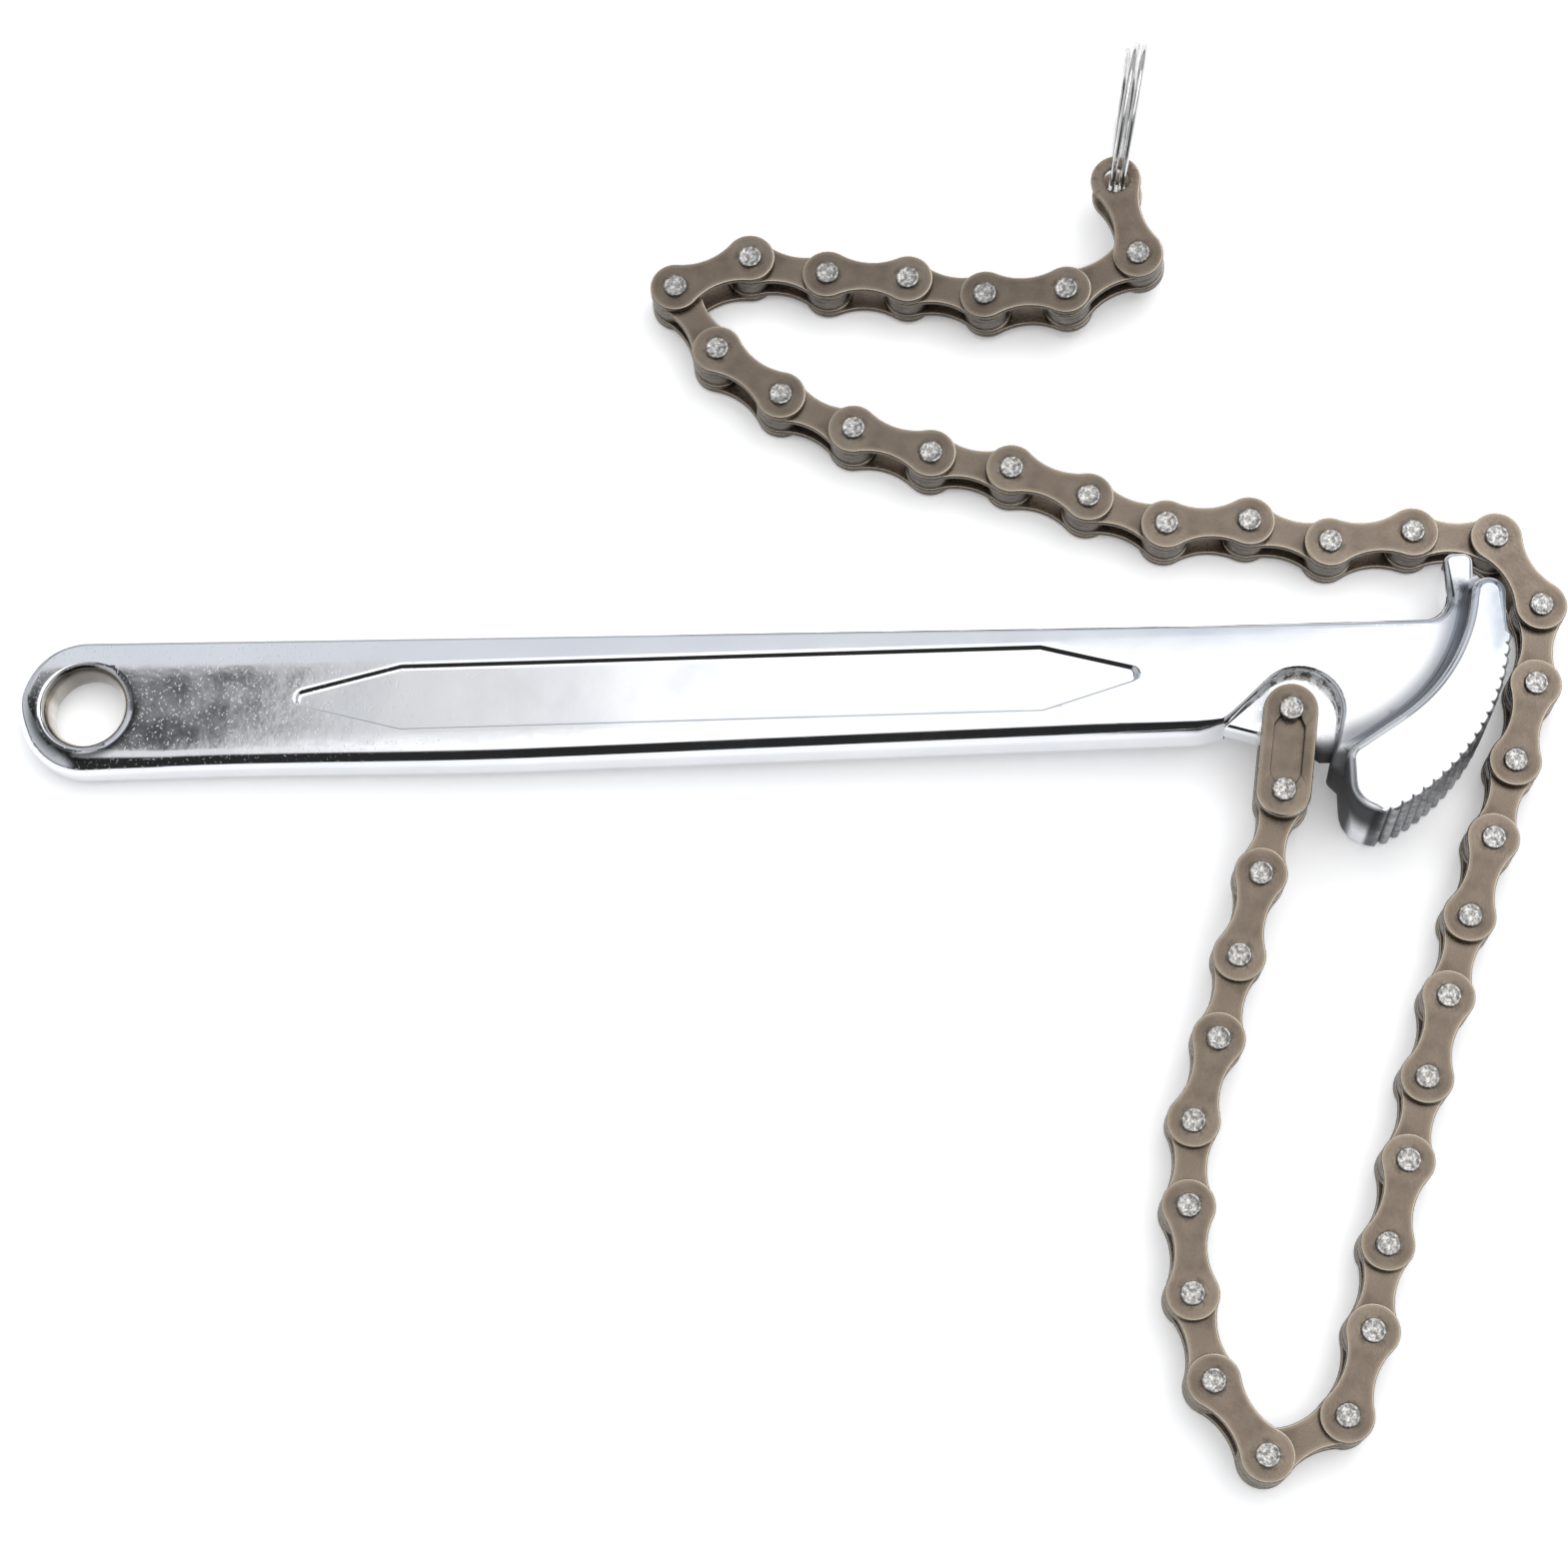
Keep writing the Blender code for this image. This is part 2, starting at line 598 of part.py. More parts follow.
def connecting_base_mesh(parts):
    """The lower plate of the connecting link with its two long, grooved pins."""
    half = PLATE_THICKNESS / 2
    plate = slab("base_plate", stadium(COVER_RADIUS, 2 * CORNER_STEPS), half, parts, -OUTER_FACE - half)
    pins = both_ends("long_pin", PIN_RADIUS, -PIN_HALF, COVER_TOP, PIN_SIDES, parts)
    necks = both_ends(
        "pin_neck", CLIP_PIN_RADIUS, COVER_TOP - OVERRUN, CLIP_TOP + CLIP_SEAT_GAP + OVERRUN / 4,
        PIN_SIDES, parts,
    )
    heads = both_ends(
        "pin_head", PIN_RADIUS, CLIP_TOP + CLIP_SEAT_GAP, CLIP_PIN_TOP, PIN_SIDES, parts
    )
    return combine(plate, [*pins, *necks, *heads], "UNION")


def cover_plate_mesh(parts, cutters):
    half = PLATE_THICKNESS / 2
    plate = slab("cover_blank", stadium(COVER_RADIUS, 2 * CORNER_STEPS), half, parts, COVER_FACE + half)
    bottom = COVER_FACE - OVERRUN
    top = COVER_TOP + OVERRUN
    radius = PIN_RADIUS + CLIP_PIN_CLEARANCE
    holes = both_ends("cover_hole", radius, bottom, top, 2 * PIN_SIDES, cutters, hole=True)
    return combine(plate, holes, "DIFFERENCE")


def clip_mesh(parts, cutters):
    """A flat spring whose window narrows to grip the grooves of both pins."""
    half = CLIP_THICKNESS / 2
    middle = CLIP_FLOOR + half
    clip = slab("clip_blank", stadium(CLIP_RADIUS, 2 * CORNER_STEPS), half, parts, middle)
    grip = CLIP_PIN_RADIUS + CLIP_PIN_CLEARANCE
    holes = both_ends(
        "clip_hole", grip, CLIP_FLOOR - OVERRUN, CLIP_TOP + OVERRUN, 2 * PIN_SIDES, cutters, hole=True
    )
    shoulder = PIN_RADIUS + CLIP_WINDOW / 2
    corners = [
        (0, -grip, 0),
        (shoulder, -CLIP_WINDOW, WEB_CORNER_RADIUS),
        (PITCH - shoulder, -CLIP_WINDOW, WEB_CORNER_RADIUS),
        (PITCH, -grip, 0),
        (PITCH, grip, 0),
        (PITCH - shoulder, CLIP_WINDOW, WEB_CORNER_RADIUS),
        (shoulder, CLIP_WINDOW, WEB_CORNER_RADIUS),
        (0, grip, 0),
    ]
    window = slab("clip_window", rounded(corners), half + OVERRUN, cutters, middle)
    return combine(clip, [*holes, window], "DIFFERENCE")


def link_frame(pin, direction, slope):
    """A frame at a pin: X to the next pin, Z out of the link, on a plane of this slope."""
    along = Vector((direction.x, direction.y, slope.dot(direction))).normalized()
    out = Vector((-slope.x, -slope.y, 1)).normalized()
    side = out.cross(along)
    frame = Matrix((along, side, out)).transposed().to_4x4()
    frame.translation = pin
    return frame


def handle_frame():
    """The handle lies with the heel of its jaw and the end of its tail on the bench."""
    span = HEEL_LEFT + TAIL_LENGTH + TAIL_WIDTH / 2 - GRIP_BEVEL
    tilt = math.atan((JAW_THICKNESS - TAIL_THICKNESS) / 2 / span)
    height = JAW_THICKNESS / 2 * math.cos(tilt) - HEEL_LEFT * math.sin(tilt)
    return Matrix.Translation((0, 0, height)) @ Matrix.Rotation(-tilt, 4, "Y")


def chain_frames(handle):
    """One frame for each link at its first pin, and one at the ring's hole."""
    pin = handle @ ANCHOR
    out = handle.to_3x3() @ Vector((0, 0, 1))
    handle_slope = Vector((-out.x / out.z, -out.y / out.z, 0))
    first_lift = len(LINK_HEADINGS) - len(LIFT_SHARES)
    frames = []
    drop = 0.0
    for i, turn in enumerate(LINK_HEADINGS):
        direction = heading(math.radians(turn))
        slope = Vector((0, 0, 0))
        if i == 0:
            slope = handle_slope
        elif i <= len(DROP_SHARES):
            slope = -math.tan(math.asin(drop * DROP_SHARES[i - 1] / PITCH)) * direction
        elif i >= first_lift:
            share = LIFT_SHARES[i - first_lift]
            slope = LIFT_SLOPE * share * heading(math.radians(LIFT_HEADINGS[i - first_lift]))
        frames.append(link_frame(pin, direction, slope))
        pin = frames[-1] @ Vector((PITCH, 0, 0))
        if i == 0:
            drop = pin.z - PIN_HALF
    frames.append(link_frame(pin, direction, slope))
    return frames


def ring_object(name, collection):
    """Two open turns of round wire about Y, starting at the side away from the end link."""
    curve = bpy.data.curves.new(name, "CURVE")
    curve.dimensions = "3D"
    curve.bevel_depth = RING_WIRE_RADIUS
    curve.bevel_resolution = 1
    curve.use_fill_caps = True
    spline = curve.splines.new("POLY")
    count = RING_STEPS * RING_TURNS
    spline.points.add(count)
    places = []
    for i, point in enumerate(spline.points):
        turn = 2 * math.pi * i / RING_STEPS
        side = RING_LEAD * (i / RING_STEPS - RING_TURNS / 2)
        places.append(RING_RADIUS * Vector((math.cos(turn), 0, math.sin(turn))) + Vector((0, side, 0)))
        point.co = (*places[-1], 1)
    gap = min(
        (a - b).length - 2 * RING_WIRE_RADIUS
        for i, a in enumerate(places)
        for b in places[i + RING_STEPS // 2 :]
    )
    print(f"least gap of the split ring to itself: {gap / MM:.2f} mm")
    obj = bpy.data.objects.new(name, curve)
    collection.objects.link(obj)
    return as_mesh(obj, name)


def ring_place(end):
    """Where the ring stands: upright on the bench, with its wire through both plates of the end link."""
    hole = end.translation
    height = RING_RADIUS + RING_WIRE_RADIUS + RING_GROUND_GAP
    reaches = []
    for level in (hole.z + OUTER_HALF, hole.z - OUTER_HALF):
        reaches.append(math.sqrt(RING_RADIUS**2 - (height - level) ** 2))
    centre = hole + heading(RING_HEADING) * sum(reaches) / 2
    centre.z = height
    return Matrix.Translation(centre) @ Matrix.Rotation(RING_HEADING, 4, "Z")


def place(obj, matrix, parent, hinge=None):
    """Puts an object at a matrix in the world, with its origin at the hinge, under a parent."""
    if hinge is not None:
        obj.data.transform(hinge.inverted() @ matrix)
        matrix = hinge
    obj.parent = parent
    bpy.context.view_layer.update()
    obj.matrix_basis = parent.matrix_world.inverted() @ matrix


def centre_footprint(root, nodes):
    """Moves the whole wrench so that the middle of its footprint is at the origin."""
    bpy.context.view_layer.update()
    corners = [node.matrix_world @ vert.co for node in nodes for vert in node.data.vertices]
    low = Vector([min(corner[i] for corner in corners) for i in range(3)])
    high = Vector([max(corner[i] for corner in corners) for i in range(3)])
    root.location = (-(low.x + high.x) / 2, -(low.y + high.y) / 2, -low.z)


def main():
    clear_scene()
    parts = new_collection("chain_wrench")
    cutters = new_collection("cutters")
    cutters.hide_render = True
    root = bpy.data.objects.new("chain_wrench_at_rest", None)
    parts.objects.link(root)

    handle = build_handle(parts, cutters)
    on_bench = handle_frame()
    place(handle, on_bench, root)
    frames = chain_frames(on_bench)

    anchor = bpy.data.objects.new("anchor_pin_axis", None)
    parts.objects.link(anchor)
    place(anchor, frames[0], root)
    base = connecting_base_mesh(parts)
    base.name = "connecting_link_pin_plate"
    finish(base, BRONZE)
    cover = cover_plate_mesh(parts, cutters)
    cover.name = "connecting_link_cover_plate"
    finish(cover, BRONZE)
    clip = clip_mesh(parts, cutters)
    clip.name = "spring_clip"
    finish(clip, BRONZE)
    for obj in (base, cover, clip):
        place(obj, frames[0], anchor)

    inner = inner_link_mesh(parts, cutters)
    outer = outer_link_mesh(parts)
    end = end_link_mesh(parts, cutters)
    nodes = [handle, base, cover, clip]
    parent = anchor
    last = len(LINK_HEADINGS)
    for number in range(2, last + 1):
        kind, pattern = ("inner_link", inner) if number % 2 == 0 else ("outer_link", outer)
        if number == last:
            kind, pattern = "end_link", end
        link = bpy.data.objects.new(f"{kind}_{number:02d}", pattern.data.copy())
        parts.objects.link(link)
        finish(link, BRONZE)
        place(link, frames[number - 1], parent)
        nodes.append(link)
        parent = link
    for pattern in (inner, outer, end):
        bpy.data.objects.remove(pattern, do_unlink=True)

    ring = ring_object("split_ring", parts)
    finish(ring, NICKEL)
    place(ring, ring_place(frames[-1]), parent, hinge=frames[-1])
    nodes.append(ring)
    centre_footprint(root, nodes)
    bpy.data.collections.remove(cutters)


main()
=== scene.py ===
"""Looks of the chain wrench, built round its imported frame. All lengths are in metres."""

import json
import math

import bmesh
import bpy
from mathutils import Matrix, Quaternion, Vector


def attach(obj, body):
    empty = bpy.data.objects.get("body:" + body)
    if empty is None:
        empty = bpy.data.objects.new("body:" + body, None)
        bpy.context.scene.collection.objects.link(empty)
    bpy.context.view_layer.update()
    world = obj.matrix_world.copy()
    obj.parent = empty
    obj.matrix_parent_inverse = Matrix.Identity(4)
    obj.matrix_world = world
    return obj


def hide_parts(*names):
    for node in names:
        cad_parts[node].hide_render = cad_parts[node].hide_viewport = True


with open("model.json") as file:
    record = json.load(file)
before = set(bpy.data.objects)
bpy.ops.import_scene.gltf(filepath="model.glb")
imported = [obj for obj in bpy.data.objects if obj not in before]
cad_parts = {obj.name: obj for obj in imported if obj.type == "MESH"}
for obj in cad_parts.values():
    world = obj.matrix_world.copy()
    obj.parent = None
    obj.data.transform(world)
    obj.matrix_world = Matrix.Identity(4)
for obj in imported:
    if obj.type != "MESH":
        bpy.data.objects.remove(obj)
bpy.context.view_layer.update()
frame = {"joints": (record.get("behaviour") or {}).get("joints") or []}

MM = 0.001
scene = bpy.context.scene

# Sizes of the handle, in its own frame: X along the grip, Z out of its flat face
TAIL_LENGTH, TAIL_WIDTH, TAIL_THICKNESS = 182.6 * MM, 20.8 * MM, 8.0 * MM
NECK_LENGTH, NECK_WIDTH, GRIP_THICKNESS = 13.0 * MM, 15.4 * MM, 10.0 * MM
GRIP_BEVEL, BELLY = 1.5 * MM, 1.1 * MM
HOLE, HOLE_RADIUS, HOLE_RIM_RADIUS = Vector((-TAIL_LENGTH, 0, 0)), 5.6 * MM, 7.4 * MM
HORN_BACK, HORN_FRONT, HORN_TOP = 24.0 * MM, 28.4 * MM, 18.0 * MM
HORN_CORNER, HORN_ROOT = 1.4 * MM, 3.6 * MM

# The open bay round the anchor pin, from its apex on the lower edge to the foot and end of its wall,
# and the thin lug that stands in it
ANCHOR = Vector((0, -6.1 * MM, 0))
BAY, BAY_RADIUS = Vector((1.2 * MM, ANCHOR.y, 0)), 6.2 * MM
APEX = Vector((-9.9 * MM, -8.0 * MM, 0))
WALL_FOOT = Vector((5.3 * MM, -15.2 * MM, 0))
WALL_END = Vector((8.4 * MM, -18.4 * MM, 0))
LUG_HALF, LUG_RADIUS, LUG_ROOT = 2.65 * MM, 4.7 * MM, 2.5 * MM
LUG_TOE = Vector((4.3 * MM, -12.7 * MM, 0))

# Sizes of the jaw, in the same frame: a crescent of a toothed front and a hollow back, with a heel
# below and a round tip above; the web ends under the teeth, and its crease is where horn and tip part
JAW_HALF, JAW_RADIUS, UNDER_TEETH = 9.0 * MM, 34.1 * MM, 4.4 * MM
JAW_NOSE = Vector((26.72 * MM, -12.54 * MM, 0))
JAW_NOSE_TURN = math.radians(-34.8)
JAW_CENTRE = JAW_NOSE - JAW_RADIUS * Vector((math.cos(JAW_NOSE_TURN), math.sin(JAW_NOSE_TURN), 0))
TEETH_LENGTH, TOOTH_PITCH, TOOTH_DEPTH = 35.2 * MM, 1.95 * MM, 0.8 * MM
TEETH_HALF_TURN = TEETH_LENGTH / JAW_RADIUS / 2
BACK_MIDDLE, BACK_RADIUS, BACK_LENGTH = Vector((23.2 * MM, -0.8 * MM, 0)), 26.0 * MM, 22.2 * MM
BACK_TURN = math.radians(-32.5)
BACK_CENTRE = BACK_MIDDLE - BACK_RADIUS * Vector((math.cos(BACK_TURN), math.sin(BACK_TURN), 0))
CREASE = Vector((26.0 * MM, 11.2 * MM, 0))
TIP_CENTRE, TIP_RADIUS = Vector((29.8 * MM, 10.1 * MM, 0)), 2.6 * MM
HEEL_LEFT, HEEL_SHOULDER, HEEL_FOOT = 7.3 * MM, -13.9 * MM, -24.2 * MM
HEEL_SHOULDER_RADIUS, HEEL_FOOT_RADIUS = 3.0 * MM, 5.0 * MM

# Rims of the forging as (width, height). Those of the other places are added to the upper edge's rim,
# and the jaw's grows from its teeth's over a short way. Then the radii of the hollow fillets.
UPPER_RIM, LOWER_RIM, NEAR_HEAD_RIM = (0.8 * MM, 1.0 * MM), (1.9 * MM, 2.0 * MM), (-0.5 * MM, 0.0)
HORN_RIM, TAIL_RIM = (0.7 * MM, 0.5 * MM), (1.0 * MM, 0.6 * MM)
TEETH_RIM, PAST_TEETH_RIM, RIM_GROWTH = 0.25 * MM, (1.05 * MM, 0.95 * MM), 2.2 * MM
LUG_RIM = (0.9 * MM, 1.3 * MM)
JAW_FILLET, POCKET_FILLET_ENDS, POCKET_FILLET_SWELL = 1.6 * MM, 0.15 * MM, 1.55 * MM
FILLET_SINK = 0.6

# The face's crown: where the face begins to fall away beside its middle, how sharply it curves, and
# the lines in millimetres along which the face is cut so that it can bend
UPPER_CROWN, LOWER_CROWN, CROWN_LIMIT = (3.5 * MM, 0.016 / MM), (4.5 * MM, 0.010 / MM), 0.3 * MM
CROWN_CUTS = (3.5, 5.6, 6.4, 7.2, -4.5, -5.3, -6.1)

# The rim of the jaw, as shares of its width and height, from the wall to the face
JAW_RIM_PROFILE = (
    (0.0, 1.0), (0.05, 0.7), (0.16, 0.46), (0.33, 0.29), (0.56, 0.19),
    (0.84, 0.14), (0.9, 0.1), (0.95, 0.02), (1.0, 0.0),
)

# The long panel in millimetres: its corners, and its wall as (inset, rise above the floor)
PANEL_CORNERS = ((-153.6, 0.2), (-134, -5.2), (-37, -5.2), (-19.5, 0.2), (-37, 4.9), (-134, 4.9))
PANEL_PROFILE = (
    (0.75, 0.0), (0.5, 0.02), (0.32, 0.08), (0.16, 0.2), (-0.02, 0.38),
    (-0.16, 0.5), (-0.34, 0.57), (-0.6, 0.6), (-0.6, 2.0),
)
PANEL_DEPTH, PANEL_CORNER_RADIUS = 0.6 * MM, 1.2 * MM

# The lip of the hanging hole in millimetres, as (past the rim, above the face)
HOLE_LIP = ((0.9, 1.0), (0.35, 0.02), (0.2, 0.0), (-0.5, -0.1), (-0.6, -0.18))
HOLE_LIP_WIDTH = 0.68 * MM

# Sizes of the chain, in a link's frame: X to the next pin, Z out of the plates
PITCH = 12.7 * MM
INNER_FACE, PLATE, PLATE_GAP, PLATE_BEVEL = 1.65 * MM, 1.0 * MM, 0.3 * MM, 0.22 * MM
OUTER_FACE = INNER_FACE + PLATE + PLATE_GAP
HEAD_RADIUS, WAIST_HALF, WAIST_REACH = 3.95 * MM, 2.4 * MM, 4.55 * MM
WAIST_FILLET = ((PITCH / 2) ** 2 + WAIST_HALF**2 - HEAD_RADIUS**2) / (2 * (HEAD_RADIUS - WAIST_HALF))
END_HOLE_RADIUS = 2.0 * MM
PIN_RADIUS, PIN_OVERHANG, PIN_DISH, PIN_EDGE = 1.8 * MM, 0.6 * MM, 0.07 * MM, 0.2 * MM
PIN_HALF = OUTER_FACE + PLATE + PIN_OVERHANG
ROLLER_RADIUS, ROLLER_GAP = 3.75 * MM, 0.1 * MM
COVER_RADIUS, CLIP_RADIUS, COVER_BEVEL = 4.1 * MM, 4.0 * MM, 0.16 * MM
CLIP_FLOOR, CLIP_THICKNESS = OUTER_FACE + PLATE + 0.15 * MM, 0.8 * MM
CLIP_TOP = CLIP_FLOOR + CLIP_THICKNESS
CLIP_PIN_TOP = CLIP_TOP + 0.55 * MM
CLIP_WINDOW_END = (
    (2.6, 2.25, 1.0), (1.2, 1.5, 0.3), (-1.4, 1.2, 0.9),
    (-1.4, -1.2, 0.9), (1.2, -1.5, 0.3), (2.6, -2.25, 1.0),
)
RING_RADIUS, RING_WIRE, RING_LEAD, RING_PLAY = 12.0 * MM, 0.5 * MM, 1.46 * MM, 0.05 * MM
RING_TURN = math.radians(80)

# How the chain lies: each link's heading in degrees, its drop from the lug and its climb to the ring
LINK_HEADINGS = (
    -98, -108, -107, -106, -109, -96, -90, -79, -56,
    25, 70, 77, 73, 74, 72, 72, 70, 71, 72, 82, 118,
    175, 186, 163, 181, 158, 157, 167, 160, 152, 141, 121,
    22, -14, -6, -15, 0, 26, 104,
)
DROP_SHARES = (0.125, 0.25, 0.3, 0.225, 0.1)
LIFT_SLOPE = math.tan(math.radians(8.0))
LIFT_SHARES = (0.22, 0.43, 0.65, 0.86, 1.0)
LIFT_HEADINGS = (0, 0, 10, 28, 50)

# Most zones of the chrome mark where painted shade, painted shadow and a painted bluish shade lie.
# Zones of the chrome. Each is a list of soft steps in millimetres: along what, where the zone begins
# and where it is full. Besides x, y and z, a step runs along the distance from the middle plane (side),
# or past the edge of a circle: the jaw's back and teeth, the bay, the hole's rim, the crease.
CHROME_ZONES = {
    "tail": (("x", -115, -160),),
    # painted bluish shade on the upper side of the face towards the neck
    "upper edge": (("y", -1, 8.5), ("x", -30, -12), ("z", 4.2, 4.9)),
    # painted shade on the fillet band next to the jaw
    "shade beside the jaw": (
        ("back", -4.6, -1.3), ("back", 0.3, -0.6), ("z", 4.2, 4.9), ("x", 4, 9), ("y", 15, 11.5),
    ),
    # painted shade in the jaw's hollow back, darkest at its tip
    "hollow": (("back", -1.8, -1.4), ("back", 0.2, -0.1), ("z", 5.0, 5.3), ("z", 6.8, 6.4), ("x", 6, 9)),
    "shade in the hollow's tip": (("y", 1, 6),),
    # painted shade, broken by noise, in the crease where horn and tip part
    "crease": (("crease", 3.1, 1.1), ("z", 4.2, 4.9)),
    # unplated teeth and flank, painted darker for the shade that they mirror
    "near the teeth": (("jaw", -1.6, -1.0), ("x", 8.5, 11)),
    "teeth": (("jaw", -0.5, -0.3),),
    "flank": (("side", 8.9, 8.5),),
    # painted shade in the groove bottoms
    "shade in the grooves": (("jaw", -0.2, -0.75),),
    # painted shade, broken by noise, on the top face's band inside the teeth
    "shade behind the teeth": (("jaw", -4.4, -1.4), ("y", -9, 2), ("x", 20, 24)),
    "heel": (("y", -13.5, -15.5), ("x", 13.5, 10.5), ("z", -4.5, 3.5), ("side", 8.9, 8.5)),
    "nook": (("y", -8.8, -12), ("x", 1, 3), ("x", 8.8, 7.6), ("z", 5.1, 4.7)),
    "nook's end": (("y", -11.2, -13.5), ("x", 9, 7.8), ("x", 1.8, 3), ("z", 7.5, 6.8)),
    "pocket": (("bay", -2.2, -1.2), ("bay", 1.2, 0.5), ("x", -12, -9)),
    "pocket's depth": (("z", 4.8, 4.4),),
    # the funnel is painted in beige streaks, and its upper side in painted shade
    "funnel": (("hole", -0.6, -1.0),),
    "funnel's shade": (("y", 0.5, 5.5),),
    # painted shadow on the face about the hanging hole
    "shadow round the hole": (("hole", 2.0, 0.4), ("hole", 0, 0.4), ("y", 7, -2)),
}

# Zones of the browned plates, along the distance inside a plate's edge or from the nearer pin
PLATE_ZONES = {
    # wear and a painted highlight along the plates' rims
    "rim": (("inside", 0.9, 0.2),),
    "edge": (("inside", 0.28, 0.16), ("inside", 0.03, 0.1)),
    # painted shade on the plates' walls
    "wall": (("inside", 0.08, 0.02),),
    # painted shade about the pins
    "shade round the pins": (("pin", 2.9, 1.8),),
}

# The sky, by the direction in which it is seen: where it is open, the panels that brighten it, the dark
# flag that the tail mirrors, and the pale surround low over the floor
SKY_LEVEL, SKY_OPEN = 0.86, (("rise", 0.74, 0.86),)
SKY_MIDDLE, SKY_EDGE_TINT = (("y", 0.405, 0.35),), (0.95, 0.98, 1.04)
SKY_PANELS = (
    (0.46, (("y", 0.405, 0.35), ("x", -0.165, -0.11))),
    (0.12, (("y", 0.29, 0.245), ("x", -0.24, -0.2))),
    (0.36, (("y", 0.29, 0.245), ("x", -0.24, -0.2), ("x", -0.06, -0.12))),
    (0.10, (("x", -0.04, 0.09),)),
    (0.35, (("x", 0.1, 0.18),)),
)
FLAG_STRENGTH, SKY_FLAG = 0.91, (("slant", -0.208, -0.246), ("y", 0.385, 0.335))
LOW_SKY = ((0.0, 0.3), (0.45, 0.12), (0.52, 0.03), (1.0, 0.025))
SURROUND_STRENGTH, SURROUND = 0.6, (0.92, 0.96, 1.0)
SIDE_WALLS, BACK_WALL, OVER_FLOOR = (("aside", 0.42, 0.6),), (("y", 0.68, 0.82),), (("z", 0.0, 0.22),)

# Lamps: name, place, width, power in watts, and whether the chrome mirrors them
LAMPS = (
    ("key", (0.45, 0.6, 0.9), 0.5, 1.2, True),
    ("overhead", (0.05, 0.1, 1.2), 1.7, 9.0, False),
)

# The camera of the photograph: its place, its turn as a rotation vector, and its focal length in pixels
CAMERA_PLACE = (12.214 * MM, -164.707 * MM, 504.207 * MM)
CAMERA_TURN = Vector((0.305879, 0.028240, -0.014711))
CAMERA_FOCUS_PX, PHOTO_WIDTH_PX, SENSOR_WIDTH = 3463.83, 1569, 36


def heading(turn):
    return Vector((math.cos(turn), math.sin(turn), 0))


def blend(value, low, high):
    """Zero below low and one above high, with a soft step between them."""
    share = min(1.0, max(0.0, (value - low) / (high - low)))
    return share * share * (3 - 2 * share)


# Outlines

def arc(centre, radius, start, end, steps):
    turns = [start + (end - start) * i / steps for i in range(steps + 1)]
    return [Vector(centre).to_3d() + radius * heading(turn) for turn in turns]


def rounded(corners, steps):
    """An outline through (x, y, radius) corners."""
    points = []
    for i, (x, y, radius) in enumerate(corners):
        here = Vector((x, y, 0))
        if not radius:
            points.append(here)
            continue
        before = Vector((*corners[i - 1][:2], 0)) - here
        after = Vector((*corners[(i + 1) % len(corners)][:2], 0)) - here
        half = before.angle(after) / 2
        middle = here + (before.normalized() + after.normalized()).normalized() * radius / math.sin(half)
        first = here + before.normalized() * radius / math.tan(half) - middle
        last = here + after.normalized() * radius / math.tan(half) - middle
        start = math.atan2(first.y, first.x)
        points += arc(middle, radius, start, start + math.atan2(first.cross(last).z, first.dot(last)), steps)
    return points


def area(loop):
    return sum(a.x * b.y - b.x * a.y for a, b in zip(loop, loop[1:] + loop[:1])) / 2


def normals_of(loop):
    """Miter directions that point out of a loop, longer at corners so that an offset stays parallel."""
    sign = 1 if area(loop) > 0 else -1
    found = []
    for i, here in enumerate(loop):
        before = here - loop[i - 1]
        after = loop[(i + 1) % len(loop)] - here
        a = sign * Vector((before.y, -before.x, 0)).normalized()
        b = sign * Vector((after.y, -after.x, 0)).normalized()
        middle = a + b
        if middle.length < 1e-6:
            middle = a
        middle.normalize()
        found.append(middle / max(0.35, middle.dot(a)))
    return found


def tidied(loop, least):
    """The loop without points closer than least to the one before."""
    kept = []
    for point in loop:
        if not kept or (point - kept[-1]).length > least:
            kept.append(point)
    if (kept[0] - kept[-1]).length <= least:
        kept.pop()
    return kept


# Meshes

def skin(work, rows):
    """Quads between each closed row of vertices and the next one."""
    size = len(rows[0])
    for low, high in zip(rows, rows[1:]):
        for j in range(size):
            after = (j + 1) % size
            work.faces.new((low[j], low[after], high[after], high[j]))


def plate(work, outer, bottom, top, rim, holes=(), steps=3, profile=None):
    """A flat plate with rounded rims, and with rounded holes, added to a bmesh.

    A rim is one size, or a function that returns its width and its height at a point.
    A profile runs from the wall to the face, in shares of that width and height.
    """
    turns = [math.pi / 2 * step / steps for step in range(steps + 1)]
    profile = profile or [(1 - math.cos(turn), 1 - math.sin(turn)) for turn in turns]
    caps = {top: [], bottom: []}
    for number, loop in enumerate([outer, *holes]):
        loop = tidied(loop, 0.002 * MM)
        inward = -1 if number == 0 else 1
        outs = normals_of(loop)
        sizes = [rim(point) for point in loop] if callable(rim) else [(rim, rim)] * len(loop)
        rings = []
        for level, side in ((bottom, 1), (top, -1)):
            rows = []
            for share, drop in profile:
                rows.append([
                    point + out * inward * width * share + Vector((0, 0, level + side * height * drop))
                    for point, out, (width, height) in zip(loop, outs, sizes)
                ])
            rings += rows[::-1] if side > 0 else rows
        verts = [[work.verts.new(p) for p in row] for row in rings]
        skin(work, verts)
        caps[bottom].append(verts[0])
        caps[top].append(verts[-1])
    for rows in caps.values():
        if len(rows) == 1:
            work.faces.new(rows[0])
            continue
        edges = []
        for row in rows:
            for j, vert in enumerate(row):
                edges.append(work.edges.get((vert, row[(j + 1) % len(row)])))
        bmesh.ops.triangle_fill(work, edges=edges, use_beauty=True)


def mirrored(profile, middle=0.0):
    """The other half of a turned profile, below its middle."""
    return [(radius, 2 * middle - height) for radius, height in reversed(profile)]


